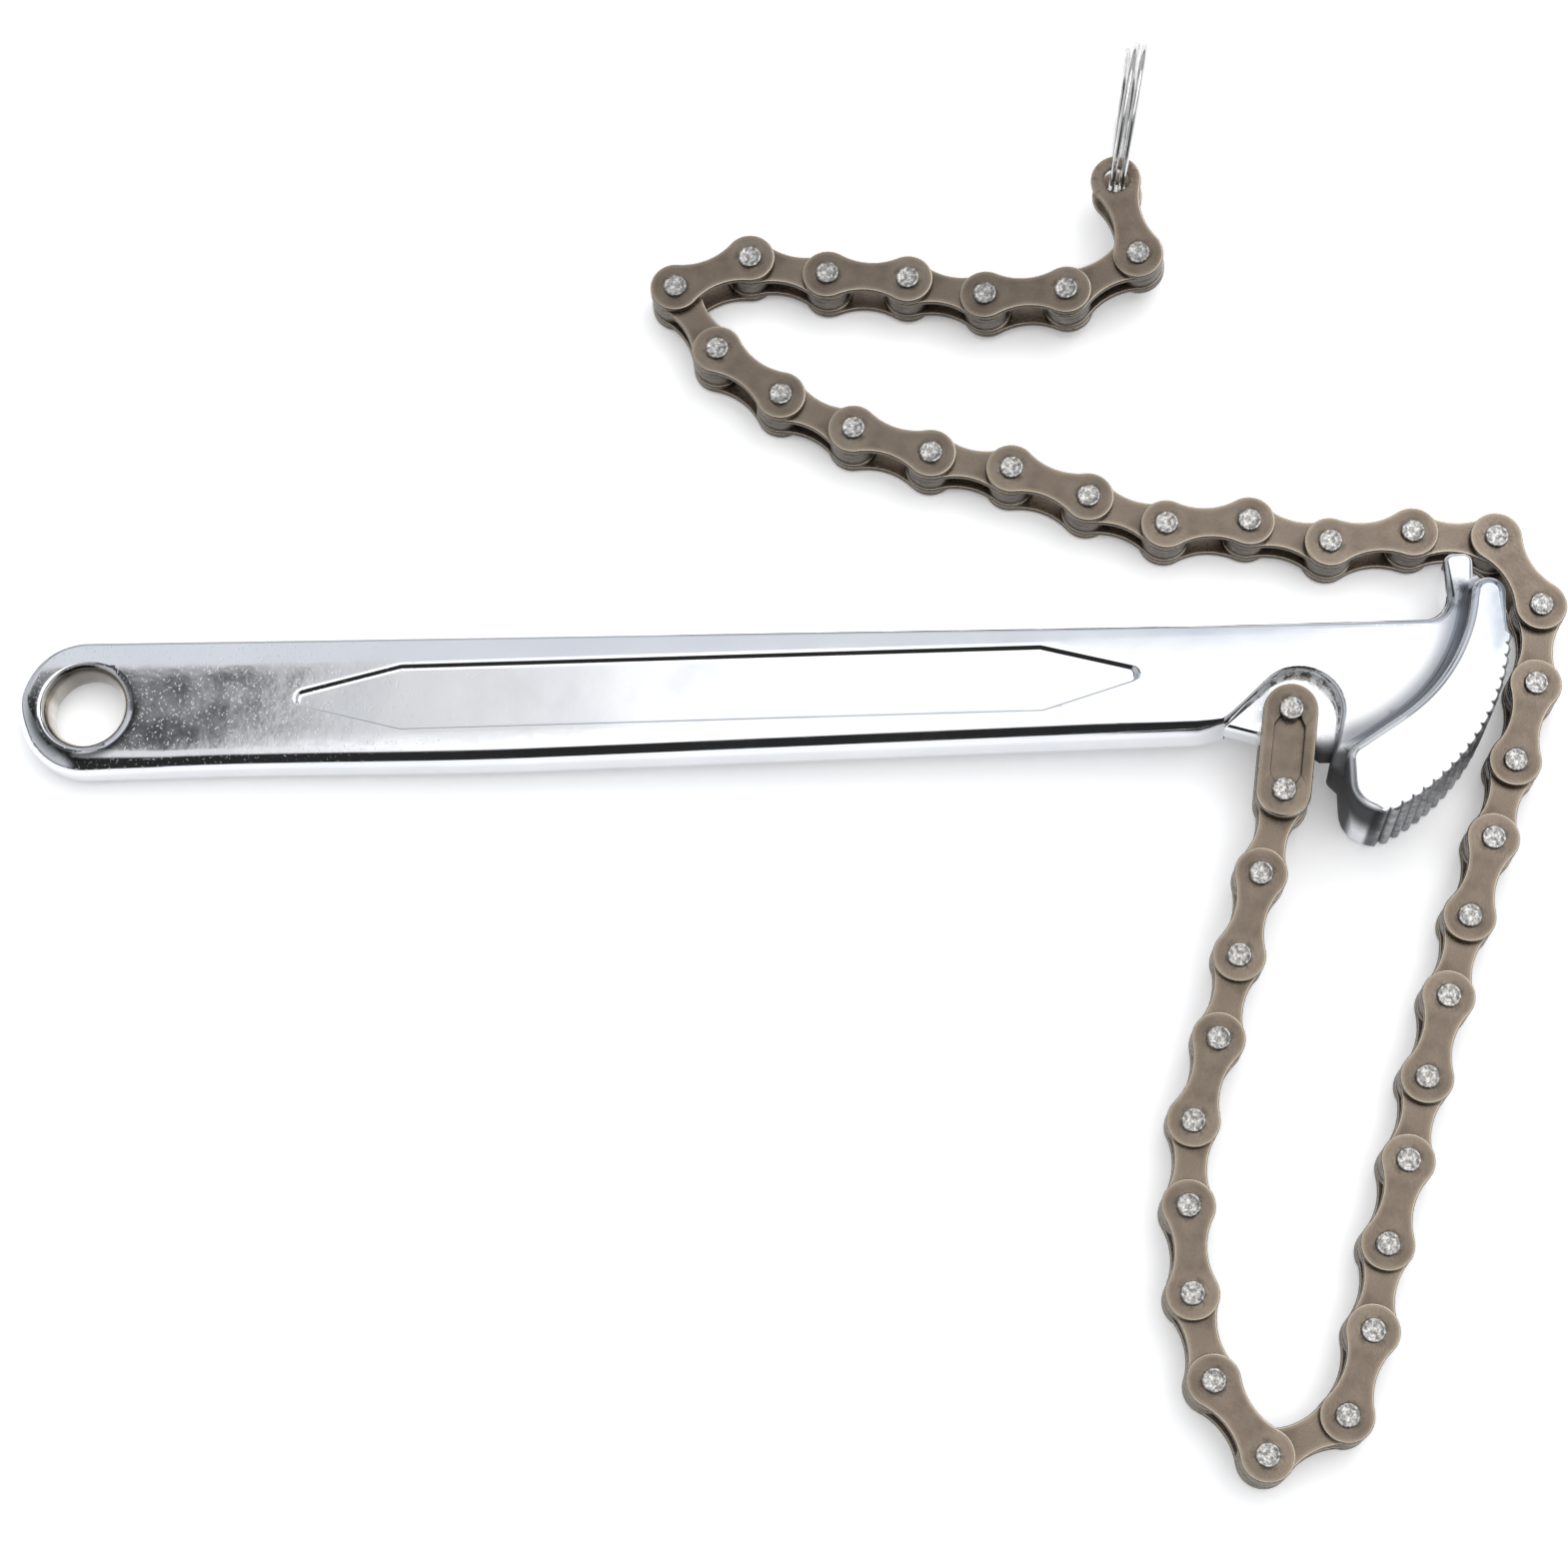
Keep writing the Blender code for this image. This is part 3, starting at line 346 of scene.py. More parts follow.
def lathe(work, profile, centre, sides):
    """A closed turned body about Z, from (radius, height) points that start and end on the axis."""
    rows = []
    for radius, height in profile:
        if radius < 1e-9:
            rows.append([work.verts.new((centre[0], centre[1], height))])
            continue
        row = []
        for j in range(sides):
            spoke = 2 * math.pi * j / sides
            place = (centre[0] + radius * math.cos(spoke), centre[1] + radius * math.sin(spoke), height)
            row.append(work.verts.new(place))
        rows.append(row)
    for low, high in zip(rows, rows[1:]):
        for j in range(sides):
            a, b = low[j % len(low)], low[(j + 1) % len(low)]
            c, d = high[(j + 1) % len(high)], high[j % len(high)]
            corners = [a] + ([b] if b is not a else []) + [c] + ([d] if d is not c else [])
            work.faces.new(corners)


def mesh_of(name, work, angle=None):
    bmesh.ops.recalc_face_normals(work, faces=work.faces)
    mesh = bpy.data.meshes.new(name)
    work.to_mesh(mesh)
    work.free()
    mesh.shade_smooth()
    if angle is not None:
        mesh.set_sharp_from_angle(angle=angle)
    return mesh


def object_of(name, data, matrix=None):
    obj = bpy.data.objects.new(name, data)
    scene.collection.objects.link(obj)
    if matrix is not None:
        obj.matrix_world = matrix
    return obj


def weighted(obj):
    """Lets the large flat faces decide the normals, so that they stay flat beside soft rims."""
    modifier = obj.modifiers.new("Weighted normals", "WEIGHTED_NORMAL")
    modifier.mode = "FACE_AREA"
    modifier.weight = 80
    modifier.keep_sharp = True


def boolean(base, tools, operation):
    """Joins the tools to the base, or cuts them out of it."""
    for tool in tools:
        modifier = base.modifiers.new("Boolean", "BOOLEAN")
        modifier.operation = operation
        modifier.solver = "MANIFOLD"
        modifier.object = tool
    bpy.context.view_layer.update()
    mesh = bpy.data.meshes.new_from_object(base.evaluated_get(bpy.context.evaluated_depsgraph_get()))
    base.modifiers.clear()
    base.data = mesh
    for tool in tools:
        bpy.data.objects.remove(tool, do_unlink=True)
    return base


# Materials

class Graph:
    """A node tree whose nodes are added one by one."""

    def __init__(self, tree, places):
        self.tree = tree
        self.spot = self.add("ShaderNodeTexCoord").outputs[places]

    def add(self, kind, **settings):
        node = self.tree.nodes.new(kind)
        for key, value in settings.items():
            setattr(node, key, value)
        return node

    def link(self, out, into):
        self.tree.links.new(out, into)

    def noise(self, scale, detail=3.0, rough=0.55, stretch=None):
        node = self.add("ShaderNodeTexNoise")
        node.inputs["Scale"].default_value = scale
        node.inputs["Detail"].default_value = detail
        node.inputs["Roughness"].default_value = rough
        source = self.spot
        if stretch:
            mapping = self.add("ShaderNodeMapping")
            mapping.inputs["Scale"].default_value = stretch
            self.link(self.spot, mapping.inputs["Vector"])
            source = mapping.outputs["Vector"]
        self.link(source, node.inputs["Vector"])
        return node.outputs["Fac"]

    def ramp(self, source, stops):
        node = self.add("ShaderNodeValToRGB")
        ramp = node.color_ramp
        while len(ramp.elements) < len(stops):
            ramp.elements.new(0.5)
        for element, (place, value) in zip(ramp.elements, stops):
            element.position = place
            element.color = (*value, 1) if isinstance(value, tuple) else (value, value, value, 1)
        self.link(source, node.inputs["Fac"])
        return node.outputs["Color"]

    def maths(self, operation, a, b=None):
        node = self.add("ShaderNodeMath", operation=operation)
        for socket, value in zip(node.inputs, (a, b)):
            if value is None:
                continue
            if isinstance(value, (int, float)):
                socket.default_value = value
            else:
                self.link(value, socket)
        return node.outputs[0]

    def product(self, first, *others):
        for other in others:
            first = self.maths("MULTIPLY", first, other)
        return first

    def total(self, first, *others):
        for other in others:
            first = self.maths("ADD", first, other)
        return first

    def span(self, source, low, high, to_low=0.0, to_high=1.0):
        """A soft step from one value, where the source is at low, to another, where it is at high."""
        node = self.add("ShaderNodeMapRange", interpolation_type="SMOOTHSTEP")
        self.link(source, node.inputs["Value"])
        for key, value in (("From Min", low), ("From Max", high), ("To Min", to_low), ("To Max", to_high)):
            node.inputs[key].default_value = value
        return node.outputs["Result"]

    def zone(self, measures, steps, unit=1.0):
        """A mask that is full where every soft step of a zone is."""
        masks = [self.span(measures[name], low * unit, high * unit) for name, low, high in steps]
        return self.product(*masks)

    def axis(self, letter):
        node = self.add("ShaderNodeSeparateXYZ")
        self.link(self.spot, node.inputs[0])
        return node.outputs[letter]

    def past(self, x, y, centre, radius):
        """How far a point lies past an upright cylinder."""
        ahead = self.maths("SUBTRACT", x, centre.x)
        aside = self.maths("SUBTRACT", y, centre.y)
        reach = self.maths("SQRT", self.total(self.product(ahead, ahead), self.product(aside, aside)))
        return self.maths("SUBTRACT", reach, radius)

    def mix(self, factor, a, b, blend_type="MIX"):
        node = self.add("ShaderNodeMix", data_type="RGBA", blend_type=blend_type)
        for socket, value in ((node.inputs[0], factor), (node.inputs[6], a), (node.inputs[7], b)):
            if isinstance(value, (int, float)):
                socket.default_value = value
            elif isinstance(value, tuple):
                socket.default_value = (*value, 1)
            else:
                self.link(value, socket)
        return node.outputs[2]

    def layers(self, colour, layers):
        """A colour under others, each laid over those before it where its mask is."""
        for mask, tone in layers:
            colour = self.mix(mask, colour, tone)
        return colour


class Shader(Graph):
    """A Principled material."""

    def __init__(self, name, colour, metallic, roughness, **settings):
        self.made = bpy.data.materials.new(name)
        self.made.use_nodes = True
        super().__init__(self.made.node_tree, "Object")
        self.main = self.tree.nodes["Principled BSDF"]
        self.main.inputs["Base Color"].default_value = (*colour, 1)
        self.main.inputs["Metallic"].default_value = metallic
        self.main.inputs["Roughness"].default_value = roughness
        for key, value in settings.items():
            self.main.inputs[key.replace("_", " ")].default_value = value
        self.height = None

    def bump(self, source, distance, strength):
        node = self.add("ShaderNodeBump")
        if isinstance(strength, (int, float)):
            node.inputs["Strength"].default_value = strength
        else:
            self.link(strength, node.inputs["Strength"])
        node.inputs["Distance"].default_value = distance
        self.link(source, node.inputs["Height"])
        if self.height:
            self.link(self.height, node.inputs["Normal"])
        self.height = node.outputs["Normal"]
        self.link(self.height, self.main.inputs["Normal"])

    def colour(self, source):
        self.link(source, self.main.inputs["Base Color"])

    def roughness(self, source):
        self.link(source, self.main.inputs["Roughness"])

    def metallic(self, source):
        self.link(source, self.main.inputs["Metallic"])


def chrome_material():
    """Forged chrome: bright and wavy, unplated at the teeth and specked at the tail. Painted shade lies in
    its hollow back, crease, nooks, groove bottoms, next to the jaw and behind the teeth, with a painted
    shadow about the hole and a painted bluish shade on the upper face by the neck; the teeth are painted
    darker for the shade that they mirror.
    """
    s = Shader("forged_chrome", (0.74, 0.76, 0.80), 1.0, 0.1)
    x, y, z = (s.axis(letter) for letter in "XYZ")
    measures = {"x": x, "y": y, "z": z, "side": s.maths("ABSOLUTE", z)}
    for name, centre, radius in (
        ("back", BACK_CENTRE, BACK_RADIUS),
        ("jaw", JAW_CENTRE, JAW_RADIUS),
        ("bay", BAY, BAY_RADIUS),
        ("hole", HOLE, HOLE_RIM_RADIUS),
        ("crease", CREASE, 0.0),
    ):
        measures[name] = s.past(x, y, centre, radius)

    def zone(name, *more):
        return s.product(s.zone(measures, CHROME_ZONES[name], MM), *more)

    tail, hollow, funnel, pocket = zone("tail"), zone("hollow"), zone("funnel"), zone("pocket")
    teeth = zone("near the teeth", s.maths("MAXIMUM", zone("flank"), zone("teeth")))
    nook = s.maths("MAXIMUM", zone("nook"), zone("nook's end"))
    shadow = s.maths("MAXIMUM", zone("heel", 0.95), s.product(nook, 0.93))
    chrome = s.ramp(s.noise(38, 3), ((0.3, (0.75, 0.77, 0.81)), (0.7, (0.83, 0.84, 0.86))))
    # unplated steel at the teeth, painted darker for the shade that the flank mirrors
    bare_steel_and_shade = s.ramp(s.noise(700, 4, 0.65), ((0.35, (0.09, 0.092, 0.098)), (0.65, (0.34, 0.345, 0.36))))
    # painted shade in the groove bottoms
    bare_steel_and_shade = s.mix(zone("shade in the grooves", 0.85), bare_steel_and_shade, (0.04, 0.04, 0.045))
    # the funnel: beige streaks, with painted shade on its upper side
    streaks = s.noise(300, 3, 0.5, (1.0, 1.0, 0.35))
    beige_streaks_and_shade = s.ramp(streaks, ((0.3, (0.46, 0.42, 0.37)), (0.7, (0.86, 0.81, 0.74))))
    beige_streaks_and_shade = s.mix(zone("funnel's shade", 0.85), beige_streaks_and_shade, (0.09, 0.085, 0.08))
    s.colour(s.layers(chrome, (
        # painted shade next to the jaw
        (zone("shade beside the jaw", 0.78), (0.10, 0.11, 0.13)),
        # painted shade in the hollow back, darkest at its tip
        (hollow, (0.19, 0.20, 0.215)),
        (zone("shade in the hollow's tip", hollow, 0.8), (0.03, 0.031, 0.034)),
        # painted shade in the crease, broken by noise
        (zone("crease", s.span(s.noise(420, 4, 0.6), 0.36, 0.56), 0.9), (0.03, 0.032, 0.036)),
        # painted bluish shade on the upper face towards the neck
        (zone("upper edge", s.span(s.noise(30, 2), 0.3, 0.62), 0.5), (0.42, 0.47, 0.55)),
        # the unplated teeth, painted darker for the shade they mirror
        (teeth, bare_steel_and_shade),
        # painted shade on the band inside the teeth, broken by noise
        (zone("shade behind the teeth", s.span(s.noise(170, 3, 0.5), 0.3, 0.66), 0.6), (0.27, 0.31, 0.37)),
        (shadow, (0.02, 0.02, 0.022)),
        # beige streaks and painted shade in the funnel
        (funnel, beige_streaks_and_shade),
        # painted shadow about the hole
        (zone("shadow round the hole", 0.85), (0.05, 0.05, 0.055)),
    )))

    smudges = s.span(s.noise(160, 4), 0.3, 0.75, 0.06, 0.15)
    s.roughness(s.total(smudges, s.product(teeth, 0.3), s.product(shadow, 0.7), s.product(funnel, 0.08)))
    cast = zone("pocket's depth", pocket, s.span(s.noise(500, 4, 0.65), 0.4, 0.55))
    dull = s.maths("MAXIMUM", s.product(s.maths("MAXIMUM", cast, hollow), 0.7), shadow)
    s.metallic(s.maths("SUBTRACT", 1.0, dull))

    waves, dimples, grain = s.noise(45, 2), s.noise(260, 3), s.noise(1400, 4, 0.7)
    specks = s.ramp(s.noise(2300, 2), ((0.30, 0.0), (0.36, 1.0)))
    s.bump(waves, 0.16 * MM, 0.5)
    s.bump(dimples, 0.02 * MM, s.total(s.product(tail, 0.55), 0.3))
    s.bump(specks, 0.014 * MM, s.total(s.product(tail, 0.8), 0.1))
    s.bump(grain, 0.09 * MM, s.maths("MAXIMUM", s.product(pocket, 0.8), s.product(teeth, 0.9)))
    return s.made


def plate_material(name, straight=False):
    """Browned steel, with wear and a painted highlight along the plates' rims, and painted shade on their
    walls and about the pins.
    """
    s = Shader(name, (0.14, 0.115, 0.09), 0.92, 0.32)
    x, y = s.axis("X"), s.maths("ABSOLUTE", s.axis("Y"))
    near_pin, far_pin = (s.past(x, y, Vector((place, 0)), 0.0) for place in (0, PITCH))
    from_pin = s.maths("MINIMUM", near_pin, far_pin)
    if straight:
        head, reach = COVER_RADIUS, PITCH / 2
        waist = s.maths("SUBTRACT", COVER_RADIUS, y)
    else:
        head, reach = HEAD_RADIUS, WAIST_REACH
        waist = s.past(x, y, Vector((PITCH / 2, WAIST_HALF + WAIST_FILLET)), WAIST_FILLET)
    from_middle = s.maths("ABSOLUTE", s.maths("SUBTRACT", x, PITCH / 2))
    outside = s.span(from_middle, reach - 0.2 * MM, reach + 0.2 * MM, 0.0, 20 * MM)
    inside = s.maths("MAXIMUM", s.maths("SUBTRACT", head, from_pin), s.maths("SUBTRACT", waist, outside))
    measures = {"inside": inside, "pin": from_pin}

    def zone(name, *more):
        return s.product(s.zone(measures, PLATE_ZONES[name], MM), *more)

    grain = s.noise(1500, 3, 0.6, (1.0, 3.0, 1.0))
    brown = s.ramp(s.noise(150, 3), ((0.3, (0.122, 0.096, 0.075)), (0.7, (0.215, 0.175, 0.138))))
    s.colour(s.layers(brown, (
        # a paler band of wear and painted highlight inside the rims, then a bright line of wear and painted
        # highlight at the edge
        (zone("rim", 0.5), (0.33, 0.27, 0.205)),
        (zone("edge", 0.85), (0.66, 0.58, 0.47)),
        # painted shade on the walls
        (zone("wall"), (0.085, 0.07, 0.055)),
        # painted shade about the pins, broken by noise
        (zone("shade round the pins", s.span(s.noise(600, 3), 0.42, 0.62), 0.75), (0.045, 0.038, 0.03)),
    )))
    s.roughness(s.span(grain, 0.3, 0.7, 0.24, 0.38))
    s.bump(grain, 0.008 * MM, 0.4)
    s.bump(s.noise(320, 2), 0.03 * MM, 0.3)
    return s.made


def pin_material():
    """Riveted pin ends, mottled by the hammer."""
    s = Shader("riveted_pin", (0.62, 0.61, 0.59), 1.0, 0.3)
    mottle = s.noise(1700, 4, 0.7)
    dark, middle, bright = (0.14, 0.135, 0.128), (0.34, 0.33, 0.315), (0.68, 0.667, 0.64)
    s.colour(s.ramp(mottle, ((0.36, dark), (0.48, middle), (0.63, bright))))
    s.roughness(s.span(s.noise(2000, 2), 0.3, 0.7, 0.2, 0.45))
    s.bump(mottle, 0.12 * MM, 0.65)
    return s.made


def roller_material():
    s = Shader("dark_roller", (0.16, 0.14, 0.12), 0.95, 0.3)
    s.colour(s.ramp(s.noise(300, 3), ((0.3, (0.06, 0.05, 0.042)), (0.7, (0.15, 0.13, 0.11)))))
    s.roughness(s.span(s.noise(900, 3), 0.3, 0.7, 0.25, 0.42))
    s.bump(s.noise(1200, 2), 0.01 * MM, 0.4)
    return s.made


def ring_material():
    s = Shader("bright_wire", (0.74, 0.73, 0.72), 1.0, 0.14)
    s.colour(s.ramp(s.noise(400, 3), ((0.3, (0.62, 0.61, 0.60)), (0.7, (0.82, 0.81, 0.80)))))
    s.roughness(s.span(s.noise(700, 3), 0.3, 0.7, 0.1, 0.26))
    s.bump(s.noise(900, 2, 0.5), 0.01 * MM, 0.4)
    return s.made


CHROME, PIN, ROLLER, WIRE = chrome_material(), pin_material(), roller_material(), ring_material()
BROWN, COVER_BROWN = plate_material("browned_steel"), plate_material("browned_cover", True)


def dress(obj, material, body, slot, *nodes):
    """Gives a piece its material and the body that it rides on, and hides the nodes that it replaces. Its
    slot is not used.
    """
    obj.data.materials.clear()
    obj.data.materials.append(material)
    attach(obj, body)
    if nodes:
        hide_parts(*nodes)


# Where the pieces lie

joints = {joint["name"]: joint for joint in frame["joints"]}
ANCHOR_PLACE = Vector(joints["anchor_pin"]["pos_m"])
CHAIN_LEVEL = Vector(joints["pin_20"]["pos_m"]).z
TILT_BASE = HEEL_LEFT + TAIL_LENGTH + TAIL_WIDTH / 2 - GRIP_BEVEL
HANDLE_TURN = Matrix.Rotation(-math.atan((JAW_HALF - TAIL_THICKNESS / 2) / TILT_BASE), 4, "Y")
HANDLE = Matrix.Translation(ANCHOR_PLACE - HANDLE_TURN @ ANCHOR) @ HANDLE_TURN


def link_frame(pin, direction, slope):
    """A link's frame at its first pin, on a plane that rises by slope."""
    along = Vector((direction.x, direction.y, slope.dot(direction))).normalized()
    out = Vector((-slope.x, -slope.y, 1)).normalized()
    made = Matrix((along, out.cross(along), out)).transposed().to_4x4()
    made.translation = pin
    return made


def chain_frames():
    """The place of every link: level with the lug first, then down to the floor and up to the ring."""
    pin = ANCHOR_PLACE
    out = HANDLE.to_3x3() @ Vector((0, 0, 1))
    handle_slope = Vector((-out.x / out.z, -out.y / out.z, 0))
    first_lift = len(LINK_HEADINGS) - len(LIFT_SHARES)
    drop = 0.0
    frames = []
    for i, turn in enumerate(LINK_HEADINGS):
        direction = heading(math.radians(turn))
        slope = Vector((0, 0, 0))
        if i == 0:
            slope = handle_slope
        elif i <= len(DROP_SHARES):
            slope = -math.tan(math.asin(drop * DROP_SHARES[i - 1] / PITCH)) * direction
        elif i >= first_lift:
            lift = i - first_lift
            slope = LIFT_SLOPE * LIFT_SHARES[lift] * heading(math.radians(LIFT_HEADINGS[lift]))
        frames.append(link_frame(pin, direction, slope))
        pin = frames[-1] @ Vector((PITCH, 0, 0))
        if i == 0:
            drop = pin.z - CHAIN_LEVEL
    return frames


LINKS = chain_frames()


# Handle

def thickness_share(x):
    """The grip's thickness, as a share of its thickness at the neck."""
    along = max(0.0, (-NECK_LENGTH - x) / (TAIL_LENGTH - NECK_LENGTH))
    return 1 + along * (TAIL_THICKNESS / GRIP_THICKNESS - 1)


def bay_outline():
    """The edge of the web round the lug, from the apex over the top and down the wall."""
    to_bay = BAY - APEX
    start = math.atan2(to_bay.y, to_bay.x) + math.asin(BAY_RADIUS / to_bay.length) + math.pi / 2
    to_foot = WALL_FOOT - BAY
    end = math.atan2(to_foot.y, to_foot.x) + math.acos(BAY_RADIUS / to_foot.length)
    round_bay = arc(BAY, BAY_RADIUS, start, end, 28)
    points = [APEX + (round_bay[0] - APEX) * k / 6 for k in range(6)] + round_bay
    return points + [round_bay[-1] + (WALL_FOOT - round_bay[-1]) * k / 6 for k in range(1, 6)]


def lower_edge(x):
    """The grip's lower edge, which bellies out a little over its outer half."""
    along = (x + TAIL_LENGTH) / (APEX.x + TAIL_LENGTH)
    straight = -TAIL_WIDTH / 2 + (TAIL_WIDTH / 2 + APEX.y) * along
    return straight - BELLY * blend(along, 0.08, 0.4)


def upper_edge(x):
    """The grip's straight upper edge, at a distance x from the neck's origin."""
    along = (x - NECK_LENGTH) / (TAIL_LENGTH - NECK_LENGTH)
    return NECK_WIDTH / 2 + (TAIL_WIDTH - NECK_WIDTH) / 2 * along


def web_outline():
    """The forging without its jaw: tail, lower edge, bay, run under the teeth, horn and upper edge."""
    points = arc(HOLE, TAIL_WIDTH / 2, math.pi / 2, math.pi * 3 / 2, 48)
    points += [Vector((x * MM, lower_edge(x * MM), 0)) for x in range(-170, -12, 3)]
    points += bay_outline()
    points += rounded([(*points[-1].xy, 0), (*WALL_FOOT.xy, MM), (*WALL_END.xy, 0)], 6)[1:]
    lower, upper = JAW_NOSE_TURN - TEETH_HALF_TURN, JAW_NOSE_TURN + TEETH_HALF_TURN
    points += arc(JAW_CENTRE, JAW_RADIUS - UNDER_TEETH, lower, upper, 10)
    horn = [
        (*points[-1].xy, 0),
        (HORN_FRONT, TIP_CENTRE.y, 0),
        (HORN_FRONT, HORN_TOP, HORN_CORNER),
        (HORN_BACK, HORN_TOP, HORN_CORNER),
        (HORN_BACK, NECK_WIDTH / 2, HORN_ROOT),
        (-NECK_LENGTH, NECK_WIDTH / 2, 0),
    ]
    points += rounded(horn, 10)[1:]
    return points + [Vector((-x * MM, upper_edge(x * MM), 0)) for x in range(20, 180, 10)]


def jaw_sides():
    """The jaw's outline in three runs: the tip with the hollow back, the heel, and the teeth."""
    reach = BACK_LENGTH / BACK_RADIUS / 2
    back = arc(BACK_CENTRE, BACK_RADIUS, BACK_TURN + reach, BACK_TURN - reach, 40)
    tip = arc(TIP_CENTRE, TIP_RADIUS, 0, math.radians(175), 24)
    upper, lower = JAW_NOSE_TURN + TEETH_HALF_TURN, JAW_NOSE_TURN - TEETH_HALF_TURN
    toe = JAW_CENTRE + JAW_RADIUS * heading(lower)
    heel = rounded([
        (*back[-1].xy, 0),
        (HEEL_LEFT, HEEL_SHOULDER, HEEL_SHOULDER_RADIUS),
        (HEEL_LEFT, HEEL_FOOT, HEEL_FOOT_RADIUS),
        (*toe.xy, 0),
    ], 10)[1:-1]
    count = round(TEETH_LENGTH / TOOTH_PITCH)
    step = (upper - lower) / count
    teeth = []
    for tooth in range(count):
        for part in range(10):
            along = part / 10
            rise = abs(math.sin(math.pi * along)) ** 0.7
            depth = TOOTH_DEPTH * (1 - rise)
            teeth.append(JAW_CENTRE + (JAW_RADIUS - depth) * heading(lower + step * (tooth + along)))
    teeth.append(JAW_CENTRE + (JAW_RADIUS - TOOTH_DEPTH) * heading(upper))
    return tip + back, heel, teeth


def web_rim(point):
    """The rim of the grip: slight along the upper edge, tall along the lower one, wide round the tail."""
    x, y = point.x / MM, point.y / MM
    lower = blend(-y, -3, 4) * blend(-x, 8, 14)
    near_head = lower * blend(x, -30, -14)
    horn = blend(x, 18, 23) * blend(y, 5, 7) * blend(-y, -16, -13)
    spoke = point - HOLE
    round_tail = blend(-spoke.normalized().dot(heading(math.radians(30))), -0.1, 0.7)
    round_tail *= blend(-spoke.x / MM, -14, -2)
    shares = (1, lower, near_head, horn, round_tail)
    rims = (UPPER_RIM, LOWER_RIM, NEAR_HEAD_RIM, HORN_RIM, TAIL_RIM)
    return tuple(sum(share * rim[i] for share, rim in zip(shares, rims)) for i in (0, 1))


def jaw_rim(point):
    """The rim of the jaw, which is fine along the teeth and fuller past them."""
    spoke = point - JAW_CENTRE
    turn = abs(math.atan2(spoke.y, spoke.x) - JAW_NOSE_TURN)
    past = max(0.0, turn - TEETH_HALF_TURN - math.radians(0.3)) * JAW_RADIUS
    past = max(past, JAW_RADIUS - TOOTH_DEPTH - 0.3 * MM - spoke.length)
    share = min(1.0, past / RIM_GROWTH)
    return tuple(TEETH_RIM + growth * share for growth in PAST_TEETH_RIM)


def crown(x, y):
    """How far the face of the forging falls away beside its middle."""
    fall = 0.0
    for sign, (start, curvature) in ((1, UPPER_CROWN), (-1, LOWER_CROWN)):
        fall += 0.5 * curvature * max(0.0, sign * y - start) ** 2
    return min(fall, CROWN_LIMIT) * blend(-x, -14 * MM, 6 * MM)


def fillet_strip(path, floor, radii, side):
    """A hollow fillet along a path, from a floor up a wall on the path's left."""
    work = bmesh.new()
    rows = []
    for i, (here, radius) in enumerate(zip(path, radii)):
        along = path[min(i + 1, len(path) - 1)] - path[max(i - 1, 0)]
        out = Vector((along.y, -along.x, 0)).normalized()
        sunk = -FILLET_SINK * radius
        corners = arc((radius, radius), radius, math.pi, math.pi * 3 / 2, 8)
        corners += [Vector((radius, sunk, 0)), Vector((sunk, sunk, 0)), Vector((sunk, radius, 0))]
        places = [here + out * c.x + Vector((0, 0, side * (floor + c.y))) for c in corners]
        rows.append([work.verts.new(place) for place in places])
    skin(work, rows)
    work.faces.new(rows[0])
    work.faces.new(rows[-1])
    return object_of("fillet", mesh_of("fillet", work))


def panel_cutter(side):
    """The long panel's hollow, with sloped walls and softly rolled rims. Its lower wall is the steeper."""
    loop = rounded([(x * MM, y * MM, PANEL_CORNER_RADIUS) for x, y in PANEL_CORNERS], 6)
    outs = normals_of(loop)
    widths = [1 - 0.7 * blend(-out.y, 0.2, 0.9) for out in outs]
    floor = GRIP_THICKNESS / 2 - PANEL_DEPTH
    work = bmesh.new()
    rows = []
    for inset, rise in PANEL_PROFILE:
        lift = Vector((0, 0, side * (floor + rise * MM)))
        rows.append([
            work.verts.new(point - out * inset * MM * width + lift)
            for point, out, width in zip(loop, outs, widths)
        ])
    skin(work, rows)
    work.faces.new(rows[0])
    work.faces.new(rows[-1])
    return object_of("panel_cutter", mesh_of("panel", work))


def hole_cutter():
    """The hanging hole: a shallow lip, then a funnel down to its waist, from both faces."""
    face = TAIL_THICKNESS / 2
    flare = HOLE_RIM_RADIUS - HOLE_RADIUS - HOLE_LIP_WIDTH
    profile = [(0, face + MM)]
    profile += [(HOLE_RIM_RADIUS + past * MM, face + above * MM) for past, above in HOLE_LIP]
    for k in range(7):
        turn = math.pi / 2 * k / 6
        radius = HOLE_RIM_RADIUS - HOLE_LIP_WIDTH - flare * math.sin(turn) ** 1.3
        profile.append((radius, face * (0.12 + 0.78 * math.cos(turn))))
    work = bmesh.new()
    lathe(work, profile + mirrored(profile), (-TAIL_LENGTH, 0), 72)
    return object_of("hole_cutter", mesh_of("hole", work))


def crowned(web):
    """Cuts the web across and along, then thins it towards the tail and beside its middle."""
    work = bmesh.new()
    work.from_mesh(web.data)
    cuts = [((x, 0, 0), (1, 0, 0)) for x in [-NECK_LENGTH + (3 - 8 * k) * MM for k in range(-3, 22)]]
    cuts += [((0, y * MM, 0), (0, 1, 0)) for y in CROWN_CUTS]
    for place, normal in cuts:
        pieces = work.verts[:] + work.edges[:] + work.faces[:]
        bmesh.ops.bisect_plane(work, geom=pieces, plane_co=place, plane_no=normal, dist=1e-6)
    for vert in work.verts:
        fall = crown(vert.co.x, vert.co.y)
        vert.co.z *= thickness_share(vert.co.x) * (1 - fall / (GRIP_THICKNESS / 2))
    work.to_mesh(web.data)
    work.free()


